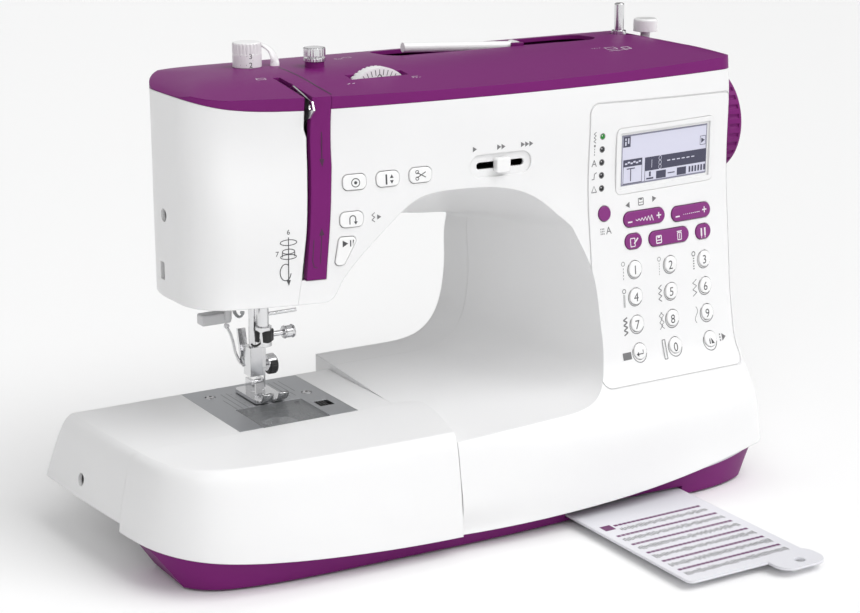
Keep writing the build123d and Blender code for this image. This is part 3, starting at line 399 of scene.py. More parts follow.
CHROME = metal("plated_steel", (0.72, 0.72, 0.73), 0.13)
PLATE_STEEL = metal("brushed_plate", (0.50, 0.51, 0.53), 0.34, stretch=(0.05, 1, 1), scale=2200,
                    depth=0.00002)
SHAFT_STEEL = metal("ground_steel", (0.45, 0.45, 0.46), 0.25)
CAST = metal("cast_frame", (0.45, 0.45, 0.45), 0.55, scale=400, depth=0.00008)
dress(CHROME, "needle_bar", "presser_bar", "presser_foot", "take_up_lever", "winder_spindle",
      "thread_guides")
dress(PLATE_STEEL, "needle_plate", "feed_dog")
dress(SHAFT_STEEL, "upper_shaft")
dress(CAST, "chassis")
dress(BLACK, "hook")


def smoky_clear():
    """Clear cover: tinted plastic seen through, with a clean gloss."""
    material, build, link, shader = principled("smoky_clear", (0.32, 0.33, 0.34), 0.05)
    shader.inputs["Alpha"].default_value = 0.42
    shader.inputs["IOR"].default_value = 1.49
    return material


dress(smoky_clear(), "bobbin_cover")
dress(moulded("clear_bobbin", (0.5, 0.5, 0.52), (0.6, 0.6, 0.62), 0.2), "bobbin")

# ------------------------------------------------------------------ keys
# Keypad keys are small moulded caps: purple ones for width, length and memory, white ones for
# the numbers. Each stands just proud of its hole in the panel.
PURPLE_KEYS = ["mode_button", "width_rocker", "length_rocker", "edit_key", "memory_rocker",
               "twin_needle_key"]
NUMBER_KEYS = ["key_" + word for word in "1 2 3 4 5 6 7 8 9 enter 0 mirror".split()]
HEAD_KEYS = ["lock_stitch_button", "needle_position_button", "thread_cutter_button", "reverse_button",
             "start_stop_button"]
dress(PURPLE_KEY, *PURPLE_KEYS)
dress(WHITE_KEY, *NUMBER_KEYS, *HEAD_KEYS)
dress(WHITE, "display_module")
dress(moulded("card_stock", (0.72, 0.72, 0.76), (0.76, 0.76, 0.8), 0.4), "stitch_card")


# ------------------------------------------------------------------ printed marks
# Digits, stitch signs and arrows are printed on the covers and the keys. Each print is a thin
# layer: a flat outline thrown on to the cover it belongs to and lifted off it by its thickness.
INK_LIFT = 0.06
CIRCLE = np.linspace(0, 2 * math.pi, 33)[:-1]


def ribbon(points, width, closed=False):
    """Band along a line: every point moved half the width to each side of its neighbours' chord."""
    line = np.asarray(points, float)
    if closed:
        chord = np.roll(line, -1, 0) - np.roll(line, 1, 0)
    else:
        chord = np.vstack([line[1:], line[-1:]]) - np.vstack([line[:1], line[:-1]])
    chord /= np.linalg.norm(chord, axis=1, keepdims=True)
    side = np.stack([-chord[:, 1], chord[:, 0]], 1) * width / 2
    count = len(line)
    i = np.arange(count if closed else count - 1)
    j = (i + 1) % count
    return np.vstack([line + side, line - side]), np.stack([i + count, j + count, j, i], 1).tolist()


def patch(points):
    """Filled outline, anticlockwise."""
    return np.asarray(points, float), [list(range(len(points)))]


def block(x, z, width, height):
    """Filled rectangle about a point."""
    half = np.array([width, height]) / 2
    corners = np.array([(-1, -1), (1, -1), (1, 1), (-1, 1)]) * half + (x, z)
    return patch(corners)


def ring(x, z, radius, width, squash=1.0):
    """Circular or oval line: centre + radius (cos t, squash sin t)."""
    return ribbon(np.stack([x + radius * np.cos(CIRCLE), z + squash * radius * np.sin(CIRCLE)], 1), width,
                  True)


def disc(x, z, radius):
    """Filled circle."""
    return patch(np.stack([x + radius * np.cos(CIRCLE), z + radius * np.sin(CIRCLE)], 1))


def frame_line(x, z, width, height, line):
    """Outline of a rectangle, as four bars."""
    return [block(x, z + height / 2, width, line), block(x, z - height / 2, width, line),
            block(x - width / 2, z, line, height), block(x + width / 2, z, line, height)]


def zigzag(x, top, bottom, swing, turns, width):
    """Zigzag stitch sign: short straight bands from side to side."""
    z = np.linspace(top, bottom, turns + 1)
    side = x + swing * (-1.0) ** np.arange(turns + 1)
    return [ribbon([(side[k], z[k]), (side[k + 1], z[k + 1])], width) for k in range(turns)]


def dashes(x, top, bottom, count, width, share=0.6):
    """Row of short upright dashes."""
    pitch = (top - bottom) / count
    return [block(x, top - pitch * (k + 0.5), width, pitch * share) for k in range(count)]


def glyph(text, x, z, height):
    """One character as a flat mesh of that height, centred on a point."""
    curve = bpy.data.curves.new("glyph_" + text, "FONT")
    curve.body = text
    curve.size = 1.0
    curve.resolution_u = 3
    holder = bpy.data.objects.new("glyph", curve)
    bpy.context.scene.collection.objects.link(holder)
    mesh = bpy.data.meshes.new_from_object(holder.evaluated_get(bpy.context.evaluated_depsgraph_get()))
    spots = np.empty(len(mesh.vertices) * 3)
    mesh.vertices.foreach_get("co", spots)
    flat = spots.reshape(-1, 3)[:, :2]
    low, high = flat.min(0), flat.max(0)
    flat = (flat - (low + high) / 2) * height / (high - low)[1] + (x, z)
    faces = [list(face.vertices) for face in mesh.polygons]
    bpy.data.objects.remove(holder)
    bpy.data.curves.remove(curve)
    bpy.data.meshes.remove(mesh)
    return flat, faces


def ink(name, shapes, target, body, material, lift=INK_LIFT, top=False):
    """Print: the flat shapes are projected on to a CAD node, along y, or along z if it is on top."""
    far = 400.0 if top else -400.0
    depth = 2 if top else 1
    corners, faces, start = [], [], 0
    for points, outlines in shapes:
        faces += [[start + k for k in outline] for outline in outlines]
        corners.append(points)
        start += len(points)
    flat = np.vstack(corners)
    level = np.full(len(flat), far)
    columns = (flat[:, 0], flat[:, 1], level) if top else (flat[:, 0], level, flat[:, 1])
    piece = mesh_piece(name, row(np.column_stack(columns)), faces, material, smooth=False)
    wrap = piece.modifiers.new("wrap", "SHRINKWRAP")
    wrap.wrap_method = "PROJECT"
    wrap.target = nodes[target]
    wrap.use_project_y = not top
    wrap.use_project_z = top
    wrap.use_negative_direction = top
    wrap.use_positive_direction = not top
    bpy.context.view_layer.update()
    mesh = bpy.data.meshes.new_from_object(piece.evaluated_get(bpy.context.evaluated_depsgraph_get()))
    piece.modifiers.clear()
    piece.data = mesh
    spots = np.empty(len(mesh.vertices) * 3)
    mesh.vertices.foreach_get("co", spots)
    spots = spots.reshape(-1, 3)
    missed = np.abs(spots[:, depth] - row((far, far, far))[depth]) < 0.001
    if missed.any():
        spots[missed, depth] = np.median(spots[~missed, depth])
    spots[:, depth] += (lift if top else -lift) / 1000
    mesh.vertices.foreach_set("co", spots.ravel())
    mesh.update()
    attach(piece, body)
    return piece


def ink_colour(name, colour, roughness=0.4):
    """Printing ink: a thin satin film with a faint unevenness in its gloss."""
    material, build, link, shader = principled(name, colour, roughness)
    mottle = build.new("ShaderNodeTexNoise")
    mottle.inputs["Scale"].default_value = 3000
    where = build.new("ShaderNodeTexCoord")
    link.new(where.outputs["Object"], mottle.inputs["Vector"])
    spread = build.new("ShaderNodeMapRange")
    spread.inputs["To Min"].default_value = roughness - 0.08
    spread.inputs["To Max"].default_value = roughness + 0.08
    link.new(mottle.outputs["Fac"], spread.inputs["Value"])
    link.new(spread.outputs["Result"], shader.inputs["Roughness"])
    return material


INK_GREY = ink_colour("grey_ink", (0.06, 0.06, 0.065))
INK_PALE = ink_colour("pale_grey_ink", (0.17, 0.17, 0.175))
INK_BLACK = ink_colour("black_ink", (0.012, 0.012, 0.014))
INK_WHITE = ink_colour("white_ink", (0.75, 0.72, 0.75))
INK_PURPLE = ink_colour("purple_ink", (0.13, 0.014, 0.11))
# Dark purple for cut-in marks on purple parts: painted shade in their grooves.
INK_SHADE = ink_colour("engraved_purple_shade", (0.055, 0.006, 0.045))


def middle_of(name):
    """Centre of a CAD node in millimetres from the needle."""
    low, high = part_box(name)
    return (low + high) / 2 * 1000 - NEEDLE


# ------------------------------------------------------------------ number keys
# Each white key has a grey digit and a fine outline, and a stitch sign stands to its left.
key_marks = {"enter": [ribbon([(2.2, 1.6), (2.2, -0.6), (-1.6, -0.6)], 0.6),
                       patch([(-3.0, -0.6), (-1.2, -2.0), (-1.2, 0.8)])],
             "mirror": [patch([(-2.9, -1.7), (-0.3, -1.7), (-0.3, 1.9)]),
                        patch([(0.5, -1.7), (2.9, -1.7), (0.5, 1.9)])]}
panel_marks = []
panel_rings = []
for name in NUMBER_KEYS:
    word = name[4:]
    x, _, z = middle_of(name)
    if word in key_marks:
        marks = [(points + (x, z), faces) for points, faces in key_marks[word]]
    else:
        marks = [glyph(word, x, z, 5.2)]
    ink(name + "_mark", marks, name, name, INK_GREY, lift=0.03)
    panel_rings.append(ring(x, z, 5.45, 0.5))
    left = x - 8.6
    sign = {
        "1": [ring(left, z + 4.4, 1.2, 0.35)] + dashes(left, z + 2.4, z - 5.4, 4, 0.4),
        "2": [ring(left, z + 4.4, 1.2, 0.35)] + dashes(left, z + 2.4, z - 5.4, 5, 0.35),
        "3": [ring(left, z + 4.4, 1.3, 0.6)] + dashes(left, z + 2.4, z - 5.4, 5, 1.1, 0.5),
        "4": [ring(left, z + 4.4, 1.2, 0.45), block(left - 0.4, z - 1.4, 0.35, 7.6),
              block(left + 0.4, z - 1.4, 0.35, 7.6)],
        "5": zigzag(left, z + 5.0, z - 5.0, 1.3, 6, 0.55),
        "6": zigzag(left, z + 5.0, z - 5.0, 1.7, 5, 0.45),
        "7": zigzag(left, z + 5.2, z - 5.2, 1.5, 7, 0.85),
        "8": zigzag(left - 0.4, z + 5.0, z - 5.0, 1.2, 5, 0.4) + zigzag(left + 0.8, z + 5.0, z - 5.0, -1.2,
                                                                        5, 0.4),
        "9": [ribbon(np.stack([left + 1.2 * np.sin(CIRCLE), z + 5 - CIRCLE * 1.6], 1), 0.4)],
        "enter": [block(left - 1.2, z - 0.6, 6.6, 4.2)],
        "0": frame_line(left, z - 0.2, 2.2, 11.0, 0.45),
        "mirror": [patch([(x + 10.2, z + 2.6), (x + 10.2, z - 1.8), (x + 13.4, z + 0.5)])]
        + dashes(x + 8.6, z + 3.0, z - 2.0, 3, 0.9),
    }
    panel_marks += sign[word]

# ------------------------------------------------------------------ purple keys
# The rockers for width and length carry white signs: minus, a row of stitches and plus.
for name in ("width_rocker", "length_rocker"):
    x, _, z = middle_of(name)
    signs = [block(x - 11.4, z - 0.8, 3.4, 0.8), block(x + 11.2, z + 0.5, 3.6, 0.8),
             block(x + 11.2, z + 0.5, 0.8, 3.6)]
    if name == "width_rocker":
        steps = [(x - 7 + 1.25 * k, z - 0.2 + (0.3 + 0.14 * k) * (-1) ** k) for k in range(12)]
        signs += [ribbon(steps[k:k + 2], 0.45) for k in range(11)]
    else:
        signs += [block(x - 6.2 + 1.6 * k, z - 0.2, 0.5 + 0.09 * k, 0.4) for k in range(9)]
    ink(name + "_signs", signs, name, name, INK_WHITE, lift=0.03)
x, _, z = middle_of("memory_rocker")
signs = frame_line(x - 8.4, z, 4.0, 4.2, 0.7) + [block(x - 8.4, z + 1.4, 2.0, 1.0),
                                                 block(x - 8.4, z - 0.4, 3.4, 0.6)]
signs += frame_line(x + 8.4, z - 0.3, 3.0, 4.2, 0.6) + [block(x + 8.4, z + 2.6, 4.0, 0.6),
                                                        block(x + 8.4, z - 0.3, 0.5, 3.0)]
ink("memory_rocker_signs", signs, "memory_rocker", "memory_rocker", INK_WHITE, lift=0.03)
# Dark line down the middle of the memory rocker: painted shade in the split between its halves.
ink("memory_rocker_split", [block(x, z, 0.5, 8.0)], "memory_rocker", "memory_rocker", INK_SHADE,
    lift=0.02)
x, _, z = middle_of("edit_key")
signs = frame_line(x - 0.8, z, 3.4, 4.8, 0.55) + [ribbon([(x + 0.2, z - 0.8), (x + 3.4, z + 2.2)], 1.0)]
ink("edit_key_sign", signs, "edit_key", "edit_key", INK_WHITE, lift=0.03)
x, _, z = middle_of("twin_needle_key")
signs = [block(x - 1.4, z + 0.4, 1.3, 4.6), block(x + 1.6, z + 0.4, 1.3, 4.6),
         block(x - 1.4, z - 2.6, 0.5, 1.6),
         block(x + 1.6, z - 2.6, 0.5, 1.6)]
ink("twin_needle_sign", signs, "twin_needle_key", "twin_needle_key", INK_WHITE, lift=0.03)

# ------------------------------------------------------------------ panel signs and lamps
# Beside the screen stands a column of five small lamps, the top one lit green, each with a sign.
# More signs stand over the width rocker and under the mode button.
LAMP_X = 189.2
LAMP_TOP = 216.2
LAMP_PITCH = 7.65
lamps = [(LAMP_X, LAMP_TOP - LAMP_PITCH * k) for k in range(5)]
for k, (x, z) in enumerate(lamps):
    left = x - 5.6
    lamp_sign = [
        zigzag(left, z + 3.0, z - 3.4, 0.9, 6, 0.4),
        [disc(left, z + 2.6, 0.7)] + dashes(left, z + 1.4, z - 3.4, 3, 0.5),
        [glyph("A", left, z, 4.0)],
        [ribbon([(left - 1.6, z - 1.8), (left, z - 1.8), (left + 0.4, z + 1.4), (left + 2.0, z + 2.0)],
                0.6)],
        [ribbon([(left - 1.8, z - 1.8), (left, z + 2.0), (left + 1.8, z - 1.8)], 0.5),
         block(left, z - 1.8, 3.8, 0.5)],
    ]
    panel_marks += lamp_sign[k]
x, _, z = middle_of("width_rocker")
over = z + 9.6
panel_marks += [patch([(x - 13.6, over - 0.6), (x - 10.4, over - 2.2), (x - 10.4, over + 1.4)]),
                patch([(x + 7.4, over + 2.6), (x + 7.4, over - 1.0), (x + 10.6, over + 1.0)])]
panel_marks += frame_line(x - 1.6, over + 0.4, 3.8, 4.0, 0.55) + [block(x - 1.6, over + 1.8, 2.0, 0.9),
                                                                  block(x - 1.6, over, 3.2, 0.4)]
x, _, z = middle_of("mode_button")
panel_marks += [block(x - 3.2 + 1.1 * (k % 3), z - 8.4 - 1.4 * (k // 3), 0.6, 0.8) for k in range(9)]
panel_marks += [glyph("A", x + 2.6, z - 9.6, 4.2)]
ink("panel_signs", panel_marks, "front_cover", "machine", INK_PALE)
ink("key_outlines", panel_rings, "front_cover", "machine", INK_PALE)
ink("lamp_rims", [ring(x, z, 1.75, 0.4) for x, z in lamps], "front_cover", "machine", INK_PALE)
ink("lamps_dark", [disc(x, z, 1.5) for x, z in lamps[1:]], "front_cover", "machine", INK_BLACK)
GREEN_LAMP = principled("green_lamp", (0.01, 0.22, 0.02), 0.2)[0]
ink("lamp_lit", [disc(*lamps[0], 1.5)], "front_cover", "machine", GREEN_LAMP)
# White dots on the lamps: painted highlights.
dots = [disc(lamps[k][0] - 0.4, lamps[k][1] + 0.5, 0.35) for k in range(5)]
ink("lamp_glints", dots, "front_cover", "machine", INK_WHITE, lift=0.1)

# ------------------------------------------------------------------ screen
# Grey liquid-crystal glass in its frame: a selected row in dark blue, a small drawing at the
# left with a dark heading, signs in the corners and a row of small values at the bottom.
screen_middle = np.array([238.6, 199.8])
SCREEN_WIDTH = 71.6
SCREEN_HEIGHT = 32.8


def on_screen(u0, u1, v0, v1):
    """Rectangle on the glass, from shares of its width and height."""
    low = screen_middle + (np.array([u0, v0]) - 0.5) * (SCREEN_WIDTH, SCREEN_HEIGHT)
    high = screen_middle + (np.array([u1, v1]) - 0.5) * (SCREEN_WIDTH, SCREEN_HEIGHT)
    return block(*((low + high) / 2), *(high - low))


GLASS = ink_colour("screen_glass", (0.62, 0.62, 0.74), 0.22)
INK_SCREEN = ink_colour("screen_dark", (0.045, 0.045, 0.085), 0.3)
INK_EDGE = ink_colour("screen_edge", (0.20, 0.20, 0.27), 0.3)
ink("screen_surround", [on_screen(0.02, 0.98, 0.04, 0.96)], "display_module", "machine", INK_EDGE,
    lift=0.04)
ink("screen_glass", [on_screen(0.03, 0.97, 0.07, 0.93)], "display_module", "machine", GLASS,
    lift=0.08)
screen_marks = [on_screen(0.28, 0.975, 0.25, 0.50), on_screen(0.035, 0.115, 0.74, 0.93),
                on_screen(0.04, 0.25, 0.38, 0.51)]
for edge in ((0.04, 0.25, 0.07, 0.08), (0.04, 0.045, 0.07, 0.38), (0.245, 0.25, 0.07, 0.38),
             (0.28, 0.285, 0.07, 0.25),
             (0.08, 0.17, 0.33, 0.35), (0.12, 0.13, 0.11, 0.33), (0.41, 0.52, 0.08, 0.22), (0.645, 0.75,
                                                                                            0.08, 0.22),
             (0.54, 0.62, 0.14, 0.16), (0.33, 0.35, 0.14, 0.23), (0.30, 0.38, 0.09, 0.12), (0.90, 0.905,
                                                                                            0.58, 0.74),
             (0.96, 0.965, 0.58, 0.74), (0.90, 0.965, 0.575, 0.585), (0.90, 0.965, 0.735, 0.745)):
    screen_marks.append(on_screen(*edge))
screen_marks += [on_screen(0.78 + 0.034 * k, 0.80 + 0.034 * k, 0.10, 0.21) for k in range(6)]
screen_marks.append(patch(screen_middle + (np.array([(0.915, 0.61), (0.955, 0.66),
                                                     (0.915, 0.71)]) - 0.5) * (SCREEN_WIDTH,
                                                                               SCREEN_HEIGHT)))
ink("screen_marks", screen_marks, "display_module", "machine", INK_SCREEN, lift=0.12)
light_marks = [on_screen(0.055, 0.07, 0.86, 0.90), on_screen(0.055, 0.07, 0.77, 0.84),
               on_screen(0.085, 0.10, 0.80, 0.90),
               on_screen(0.355, 0.36, 0.30, 0.45)]
light_marks += [on_screen(0.06 + 0.03 * k, 0.085 + 0.03 * k, 0.42 + 0.02 * (k % 2),
                          0.45 + 0.02 * (k % 2)) for k in range(6)]
light_marks += [on_screen(0.53 + 0.055 * k, 0.565 + 0.055 * k, 0.375, 0.395) for k in range(6)]
for z_share in (0.28, 0.36, 0.44):
    at = screen_middle + (np.array([0.45, z_share + 0.015]) - 0.5) * (SCREEN_WIDTH, SCREEN_HEIGHT)
    light_marks.append(ring(*at, 1.0, 0.3, 1.3))
ink("screen_light_marks", light_marks, "display_module", "machine", GLASS, lift=0.16)

# ------------------------------------------------------------------ head signs
# The head's buttons carry a target, a needle with arrows, scissors, a turning arrow and the
# start sign, and the slider has one, two and three arrow heads.
def arrow_head(x, z, size):
    """Small solid triangle that points right."""
    return patch([(x - size * 0.5, z - size * 0.6), (x + size * 0.5, z), (x - size * 0.5, z + size * 0.6)])


bends = np.linspace(0, math.pi, 13)
hook_line = np.vstack([[(-1.7, -2.4)], np.stack([-1.7 * np.cos(bends), 0.6 + 1.7 * np.sin(bends)], 1),
                       [(1.7, -1.2)]])
button_signs = {
    "lock_stitch_button": [ring(0, 0, 2.3, 0.5), disc(0, 0, 0.9)],
    "needle_position_button": [block(-1.5, 0, 1.0, 5.6), patch([(0.6, 0.6), (2.8, 0.6), (1.7, 2.6)]),
                               patch([(0.6, -0.6), (1.7, -2.6), (2.8, -0.6)])],
    "thread_cutter_button": [ribbon([(-2.8, -1.2), (2.6, 1.8)], 0.5),
                             ribbon([(-2.8, 1.8), (2.6, -1.2)], 0.5),
                             ring(-2.6, -1.6, 0.9, 0.4), ring(-2.6, 2.0, 0.9, 0.4)],
    "reverse_button": [ribbon(hook_line, 0.6), patch([(0.6, -1.0), (1.7, -2.8), (2.8, -1.0)])],
    "start_stop_button": [arrow_head(-0.8, 4.2, 3.2), block(2.2, 4.2, 0.7, 3.6), block(3.8, 4.2, 0.7, 3.6)],
}
for name, shapes in button_signs.items():
    x, _, z = middle_of(name)
    ink(name + "_sign", [(points + (x, z), faces) for points, faces in shapes], name, name, INK_GREY,
        lift=0.03)
x, _, z = middle_of("speed_slider")
slider_marks = [arrow_head(x - 17, z + 10, 2.6), arrow_head(x - 1.4, z + 10, 2.6),
                arrow_head(x + 1.4, z + 10, 2.6)]
slider_marks += [arrow_head(x + 14.2 + 2.8 * k, z + 10, 2.6) for k in range(3)]
x, _, z = middle_of("reverse_button")
slider_marks += zigzag(x + 12.5, z + 2.6, z - 2.6, 0.9, 4, 0.45) + [arrow_head(x + 16, z, 2.4)]
ink("head_signs", slider_marks, "front_cover", "machine", INK_PALE)

# ------------------------------------------------------------------ threading guide
# A line drawing on the front of the head shows the last threading steps, numbered six and seven.
GUIDE_X = -9.4
wide = np.linspace(0.15, 2 * math.pi - 0.9, 25)
drawing = [glyph("6", GUIDE_X, 181.4, 2.8), glyph("7", GUIDE_X - 6.2, 169.6, 2.8),
           block(GUIDE_X, 166.5, 0.5, 24),
           ring(GUIDE_X, 175.6, 4.6, 0.45, 0.34), ring(GUIDE_X, 170.6, 3.4, 0.45, 0.4),
           ring(GUIDE_X, 167.6, 4.4, 0.45, 0.3),
           block(GUIDE_X - 3.4, 169.2, 0.45, 3.0), block(GUIDE_X + 3.4, 169.2, 0.45, 3.0),
           ribbon(np.stack([GUIDE_X - 1.6 + 3.0 * np.cos(wide), 159.0 - 4.6 * np.sin(wide)], 1), 0.5),
           patch([(GUIDE_X - 1.2, 154.6), (GUIDE_X, 151.4), (GUIDE_X + 1.2, 154.6)])]
ink("threading_drawing", drawing, "face_cover", "machine", INK_GREY)
strip_arrow = [ribbon([(11.6, 234.0), (11.4, 219.0)], 0.55),
               patch([(9.9, 219.4), (11.4, 215.0), (12.9, 219.4)]),
               ribbon([(9.0, 178.0), (8.2, 162.5)], 0.5),
               ribbon([(4.6, 176.0), (3.8, 164.0), (4.6, 160.6), (6.4, 160.0)], 0.5),
               patch([(7.6, 178.0), (10.6, 178.0), (9.1, 182.0)])]
# The strip's arrows are drawn in dark purple: painted shade in their cut-in lines.
ink("strip_arrows", strip_arrow, "thread_strip", "machine", INK_SHADE)

# ------------------------------------------------------------------ lid marks
# A fine black line is painted over the lid beside the thread slot as painted shade in the gap there,
# and small pale signs stand by the dial, the slot and the winder. The knob and the dial carry their scales.
back = np.linspace(-58, 2, 41)
# Black band painted beside the thread slot: painted shade in the gap between the strip and the lid.
gap_shade_on_lid = [ribbon(np.stack([17.4 + 0.0006 * (back + 14) ** 2, back], 1), 0.9)]
ink("lid_gap_shade", gap_shade_on_lid, "top_cover", "machine", INK_BLACK, top=True)
lid_signs = [ribbon([(36 + 3 * k, -44.5), (38 + 3 * k, -43.5)], 0.5) for k in range(2)]
lid_signs += [block(78 + 2.2 * k, -43.6, 1.0, 0.5) for k in range(3)] + [block(80, -41.8, 4.0, 0.4)]
lid_signs += frame_line(2.6 - 8, -22, 5.0, 3.0, 0.4) + frame_line(228, -23.0, 7.0, 4.4,
                                                                  0.45) + frame_line(238, -25.0, 5.0, 4.4,
                                                                                     0.6)
lid_signs += [block(216 + 1.8 * k, -20.5, 0.9, 0.5) for k in range(4)] + [block(230, -28.4, 14, 0.4)]
lid_signs += frame_line(62, 14, 4.0, 3.4, 0.4) + frame_line(69, 17, 4.4, 3.8, 0.4)
ink("lid_signs", lid_signs, "top_cover", "machine", INK_WHITE, top=True)
dial_x, _, dial_z = middle_of("tension_dial")
turns = np.radians(np.arange(10, 171, 8))
ticks = [ribbon([(dial_x + 16.6 * math.cos(t), dial_z + 16.6 * math.sin(t)),
                 (dial_x + 19.8 * math.cos(t), dial_z + 19.8 * math.sin(t))], 0.4)
         for t in turns]
ticks += [ring(dial_x, dial_z + 15.6, 1.2, 0.5)]
ink("dial_scale", ticks, "tension_dial", "tension_dial", INK_GREY)
x, _, z = middle_of("pressure_knob")
knob_marks = [glyph("3", x - 1.6, 267.0, 2.8), glyph("2", x - 1.6, 262.2, 2.8)]
knob_marks += [block(x - 5.6 + 0.6, 267.0, 3.0, 0.4), block(x + 3.0, 264.6, 7.0, 0.35),
               block(x - 5.2, 262.2, 2.6, 0.4)]
ink("knob_scale", knob_marks, "pressure_knob", "pressure_knob", INK_BLACK)

# ------------------------------------------------------------------ stitch card
# Six rows of stitches: each has a purple dotted band and a line of small grey stitch signs.
CARD_LEFT = 147.5
CARD_RIGHT = 216.0
purple_rows, grey_rows = [], []
drawn = np.random.default_rng(11)
for k in range(6):
    y = -138.0 - 13.9 * k
    start = CARD_LEFT + (8.0 if k == 0 else 0.0)
    places = np.arange(start, CARD_RIGHT, 3.1)
    purple_rows += [block(x, y, 2.6, 2.3) for x in places]
    for x in places:
        for swing in (-0.75, 0.75):
            long = drawn.uniform(2.4, 5.6)
            grey_rows.append(block(x + swing, y - 6.4, 0.7, long))
            grey_rows.append(block(x + swing + 0.3, y - 6.4 + drawn.uniform(-1.5, 1.5), 1.1, 0.6))
purple_rows.append(block(CARD_LEFT + 1.6, -139.0, 7.0, 7.0))
ink("card_bands", purple_rows, "stitch_card", "stitch_card", INK_PURPLE, top=True)
ink("card_stitches", grey_rows, "stitch_card", "stitch_card", INK_PALE, top=True)

# ------------------------------------------------------------------ needle plate marks
# Seam guide lines are cut into the brushed plate on both sides of the foot, and two screws hold it.
FOOT_X = 3.4
lines = [block(FOOT_X + x, y, 0.3, length) for x, y, length in
         ((-15, 4, 34), (-18.5, 4, 34), (-22, -2, 24), (15, 12, 30), (18.5, 12, 30), (22, 16, 22))]
lines += [block(FOOT_X + side * 13.0, -6 + 6 * k, 1.0, 0.3) for side in (-1, 1) for k in range(5)]
ink("plate_lines", lines, "needle_plate", "machine", INK_GREY, lift=0.02, top=True)


def turned(name, profile, centre, axis, body, material, count=40, ripple=0.0, lobes=24):
    """Turned piece: each (radius, height) of the profile goes round the axis, radius + ripple cos(lobes t)."""
    turn = np.linspace(0, 2 * math.pi, count, endpoint=False)
    shape = np.asarray(profile, float)
    radius = shape[:, :1] + ripple * np.cos(lobes * turn) * (shape[:, :1] > 1.0)
    along = np.repeat(shape[:, 1:], count, 1)
    a, b = radius * np.cos(turn), radius * np.sin(turn)
    parts = {"x": (along, a, b), "y": (b, along, a), "z": (a, b, along)}[axis]
    points = np.stack(parts, -1).reshape(-1, 3) + np.asarray(centre, float)
    faces = grid_faces(len(shape), count, closed=True)
    faces.append(list(range(count))[::-1])
    faces.append(list(range((len(shape) - 1) * count, len(shape) * count)))
    piece = mesh_piece(name, row(points), faces, material)
    piece.data.set_sharp_from_angle(angle=math.radians(35))
    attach(piece, body)
    return piece


screw_profile = [(2.9, -0.6), (2.9, 0.1), (2.4, 0.5), (1.3, 0.75), (0.3, 0.8)]
for k, (x, y) in enumerate(((-22.6, 19.1), (30.2, -0.5))):
    turned(f"plate_screw_{k}", screw_profile, (x, y, 68.2), "z", "machine", CHROME)
    # A black disc on each screw head stands for its socket: painted shade in the recess.
    turned(f"plate_screw_socket_shade_{k}", [(0.9, 0.6), (0.9, 0.84), (0.2, 0.86)], (x, y, 68.2), "z", "machine",
           INK_BLACK)

# ------------------------------------------------------------------ foot and clamp fittings
# The foot has two toes that curl up in front, a bent release lever behind it and a black knurled
# screw. The needle clamp is a black block with a flared chrome screw, and a hook guides the thread.
def swept(name, path, wide, deep, body, material, count=16):
    """Rod along a path: an oval of half-axes wide (level) and deep set square to the path at each point."""
    line = np.asarray(path, float)
    fine = np.linspace(0, len(line) - 1, 8 * (len(line) - 1) + 1)
    smooth = np.column_stack([np.interp(fine, np.arange(len(line)), line[:, k]) for k in range(3)])
    for _ in range(6):
        smooth[1:-1] = (smooth[:-2] + 2 * smooth[1:-1] + smooth[2:]) / 4
    along = np.gradient(smooth, axis=0)
    along /= np.linalg.norm(along, axis=1, keepdims=True)
    level = np.cross(along, (0.02, 0.01, 1.0))
    level /= np.linalg.norm(level, axis=1, keepdims=True)
    up = np.cross(level, along)
    turn = np.linspace(0, 2 * math.pi, count, endpoint=False)
    oval = wide * np.cos(turn)[:, None] * level[:, None, :] + deep * np.sin(turn)[:, None] * up[:, None, :]
    points = (smooth[:, None, :] + oval).reshape(-1, 3)
    faces = [face[::-1] for face in grid_faces(len(smooth), count, closed=True)]
    faces.append(list(range(count)))
    faces.append(list(range((len(smooth) - 1) * count, len(smooth) * count))[::-1])
    piece = mesh_piece(name, row(points), faces, material)
    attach(piece, body)
    return piece


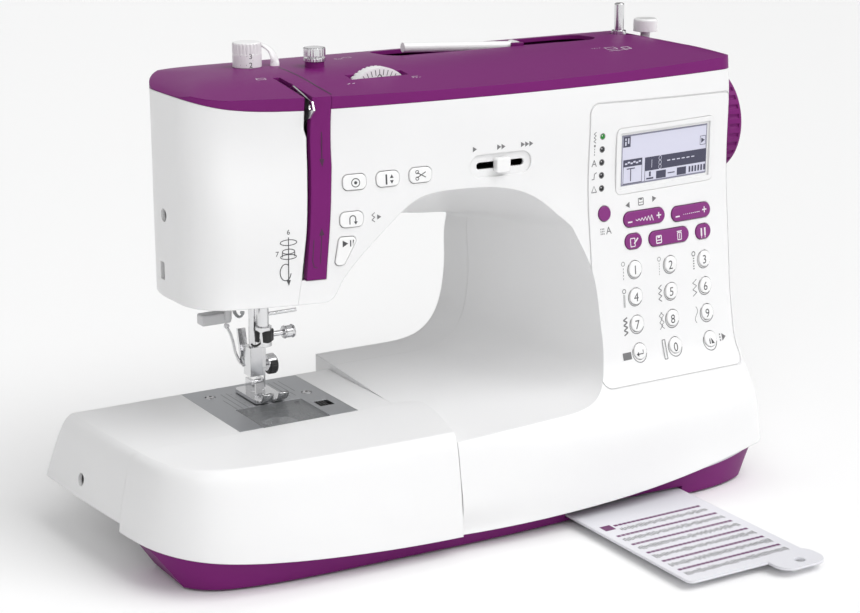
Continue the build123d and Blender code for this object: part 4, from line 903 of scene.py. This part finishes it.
for side in (-1, 1):
    toe_x = FOOT_X + side * 5.0
    toe = [(toe_x, -6, 70.0), (toe_x, -9.5, 70.2), (toe_x, -12.2, 71.6), (toe_x, -14.0, 74.0),
           (toe_x, -14.8, 76.0)]
    swept(f"foot_toe_{side}", toe, 3.4, 0.75, "presser_foot", CHROME)
release = [(-0.6, 19, 84.5), (-1.6, 22.5, 86.0), (-3.6, 24, 92), (-4.6, 24, 98), (-6.0, 24, 103),
           (-8.2, 24, 107.4)]
swept("foot_release", release, 0.95, 0.8, "presser_bar", CHROME)
turned("foot_release_tip", [(0.9, -0.6), (1.6, -0.6), (1.6, 0.6), (0.9, 0.6)], (-8.6, 24, 108.4), "y",
       "presser_bar", CHROME)
knurl = [(1.0, -1.2), (5.2, -1.2), (5.7, -0.6), (5.7, 3.4), (5.2, 4.0), (1.2, 4.0)]
turned("foot_screw", knurl, (12.8, 13.5, 84.6), "x", "presser_bar", BLACK, count=96,
       ripple=0.16)
clamp = [(4.4, 0.0), (5.3, 0.5), (5.4, 6.4), (5.0, 7.0), (4.6, 7.1)]
turned("needle_clamp", clamp, (FOOT_X + 0.4, 0, 103.4), "z", "needle_bar", BLACK,
       ripple=0.5, lobes=4)
flare = [(1.2, 0), (3.3, 0.2), (3.9, 0.8), (3.4, 2.0), (2.3, 3.2), (3.4, 4.6), (4.0, 5.8), (3.6, 6.6),
         (1.0, 6.8)]
turned("clamp_screw", flare, (FOOT_X + 12.4, 0, 107), "x", "needle_bar", CHROME)
swept("clamp_guide", [(0.5, -2, 103.2), (-3, -4, 102.6), (-5.4, -4.4, 103.0), (-6.2, -3.4, 104.2)], 0.6,
      0.6, "needle_bar", BLACK)
hook_path = [(-13, 6, 127), (-12.6, 4, 121.5), (-11.4, 1.6, 119.4), (-9.6, 0.4, 120.4), (-9.4, 0.6, 123)]
swept("threader_hook", hook_path, 1.3, 0.7, "threader_lever", GREY)

# ------------------------------------------------------------------ lid fittings
# A white curved guide stands beside the knob, and the winding guide is a knurled chrome disc.
curved = [(18.5, 8.6, 258.5), (19.0, 9.5, 263.5), (18.2, 12.0, 268.4), (15.6, 16.0, 271.2),
          (11.8, 20.4, 272.2)]
swept("lid_thread_guide", curved, 2.6, 1.1, "machine", WHITE_KEY)
disc_x, disc_y, _ = middle_of("thread_guides")
groove = [(1.5, 0.0), (6.05, 0.1), (6.1, 1.9), (4.0, 2.2), (4.0, 3.0), (6.1, 3.2), (6.1, 7.4), (5.4, 7.9),
          (1.5, 7.9)]
turned("winding_disc", groove, (disc_x, disc_y, 263.3), "z", "machine", CHROME, count=96,
       ripple=0.14)
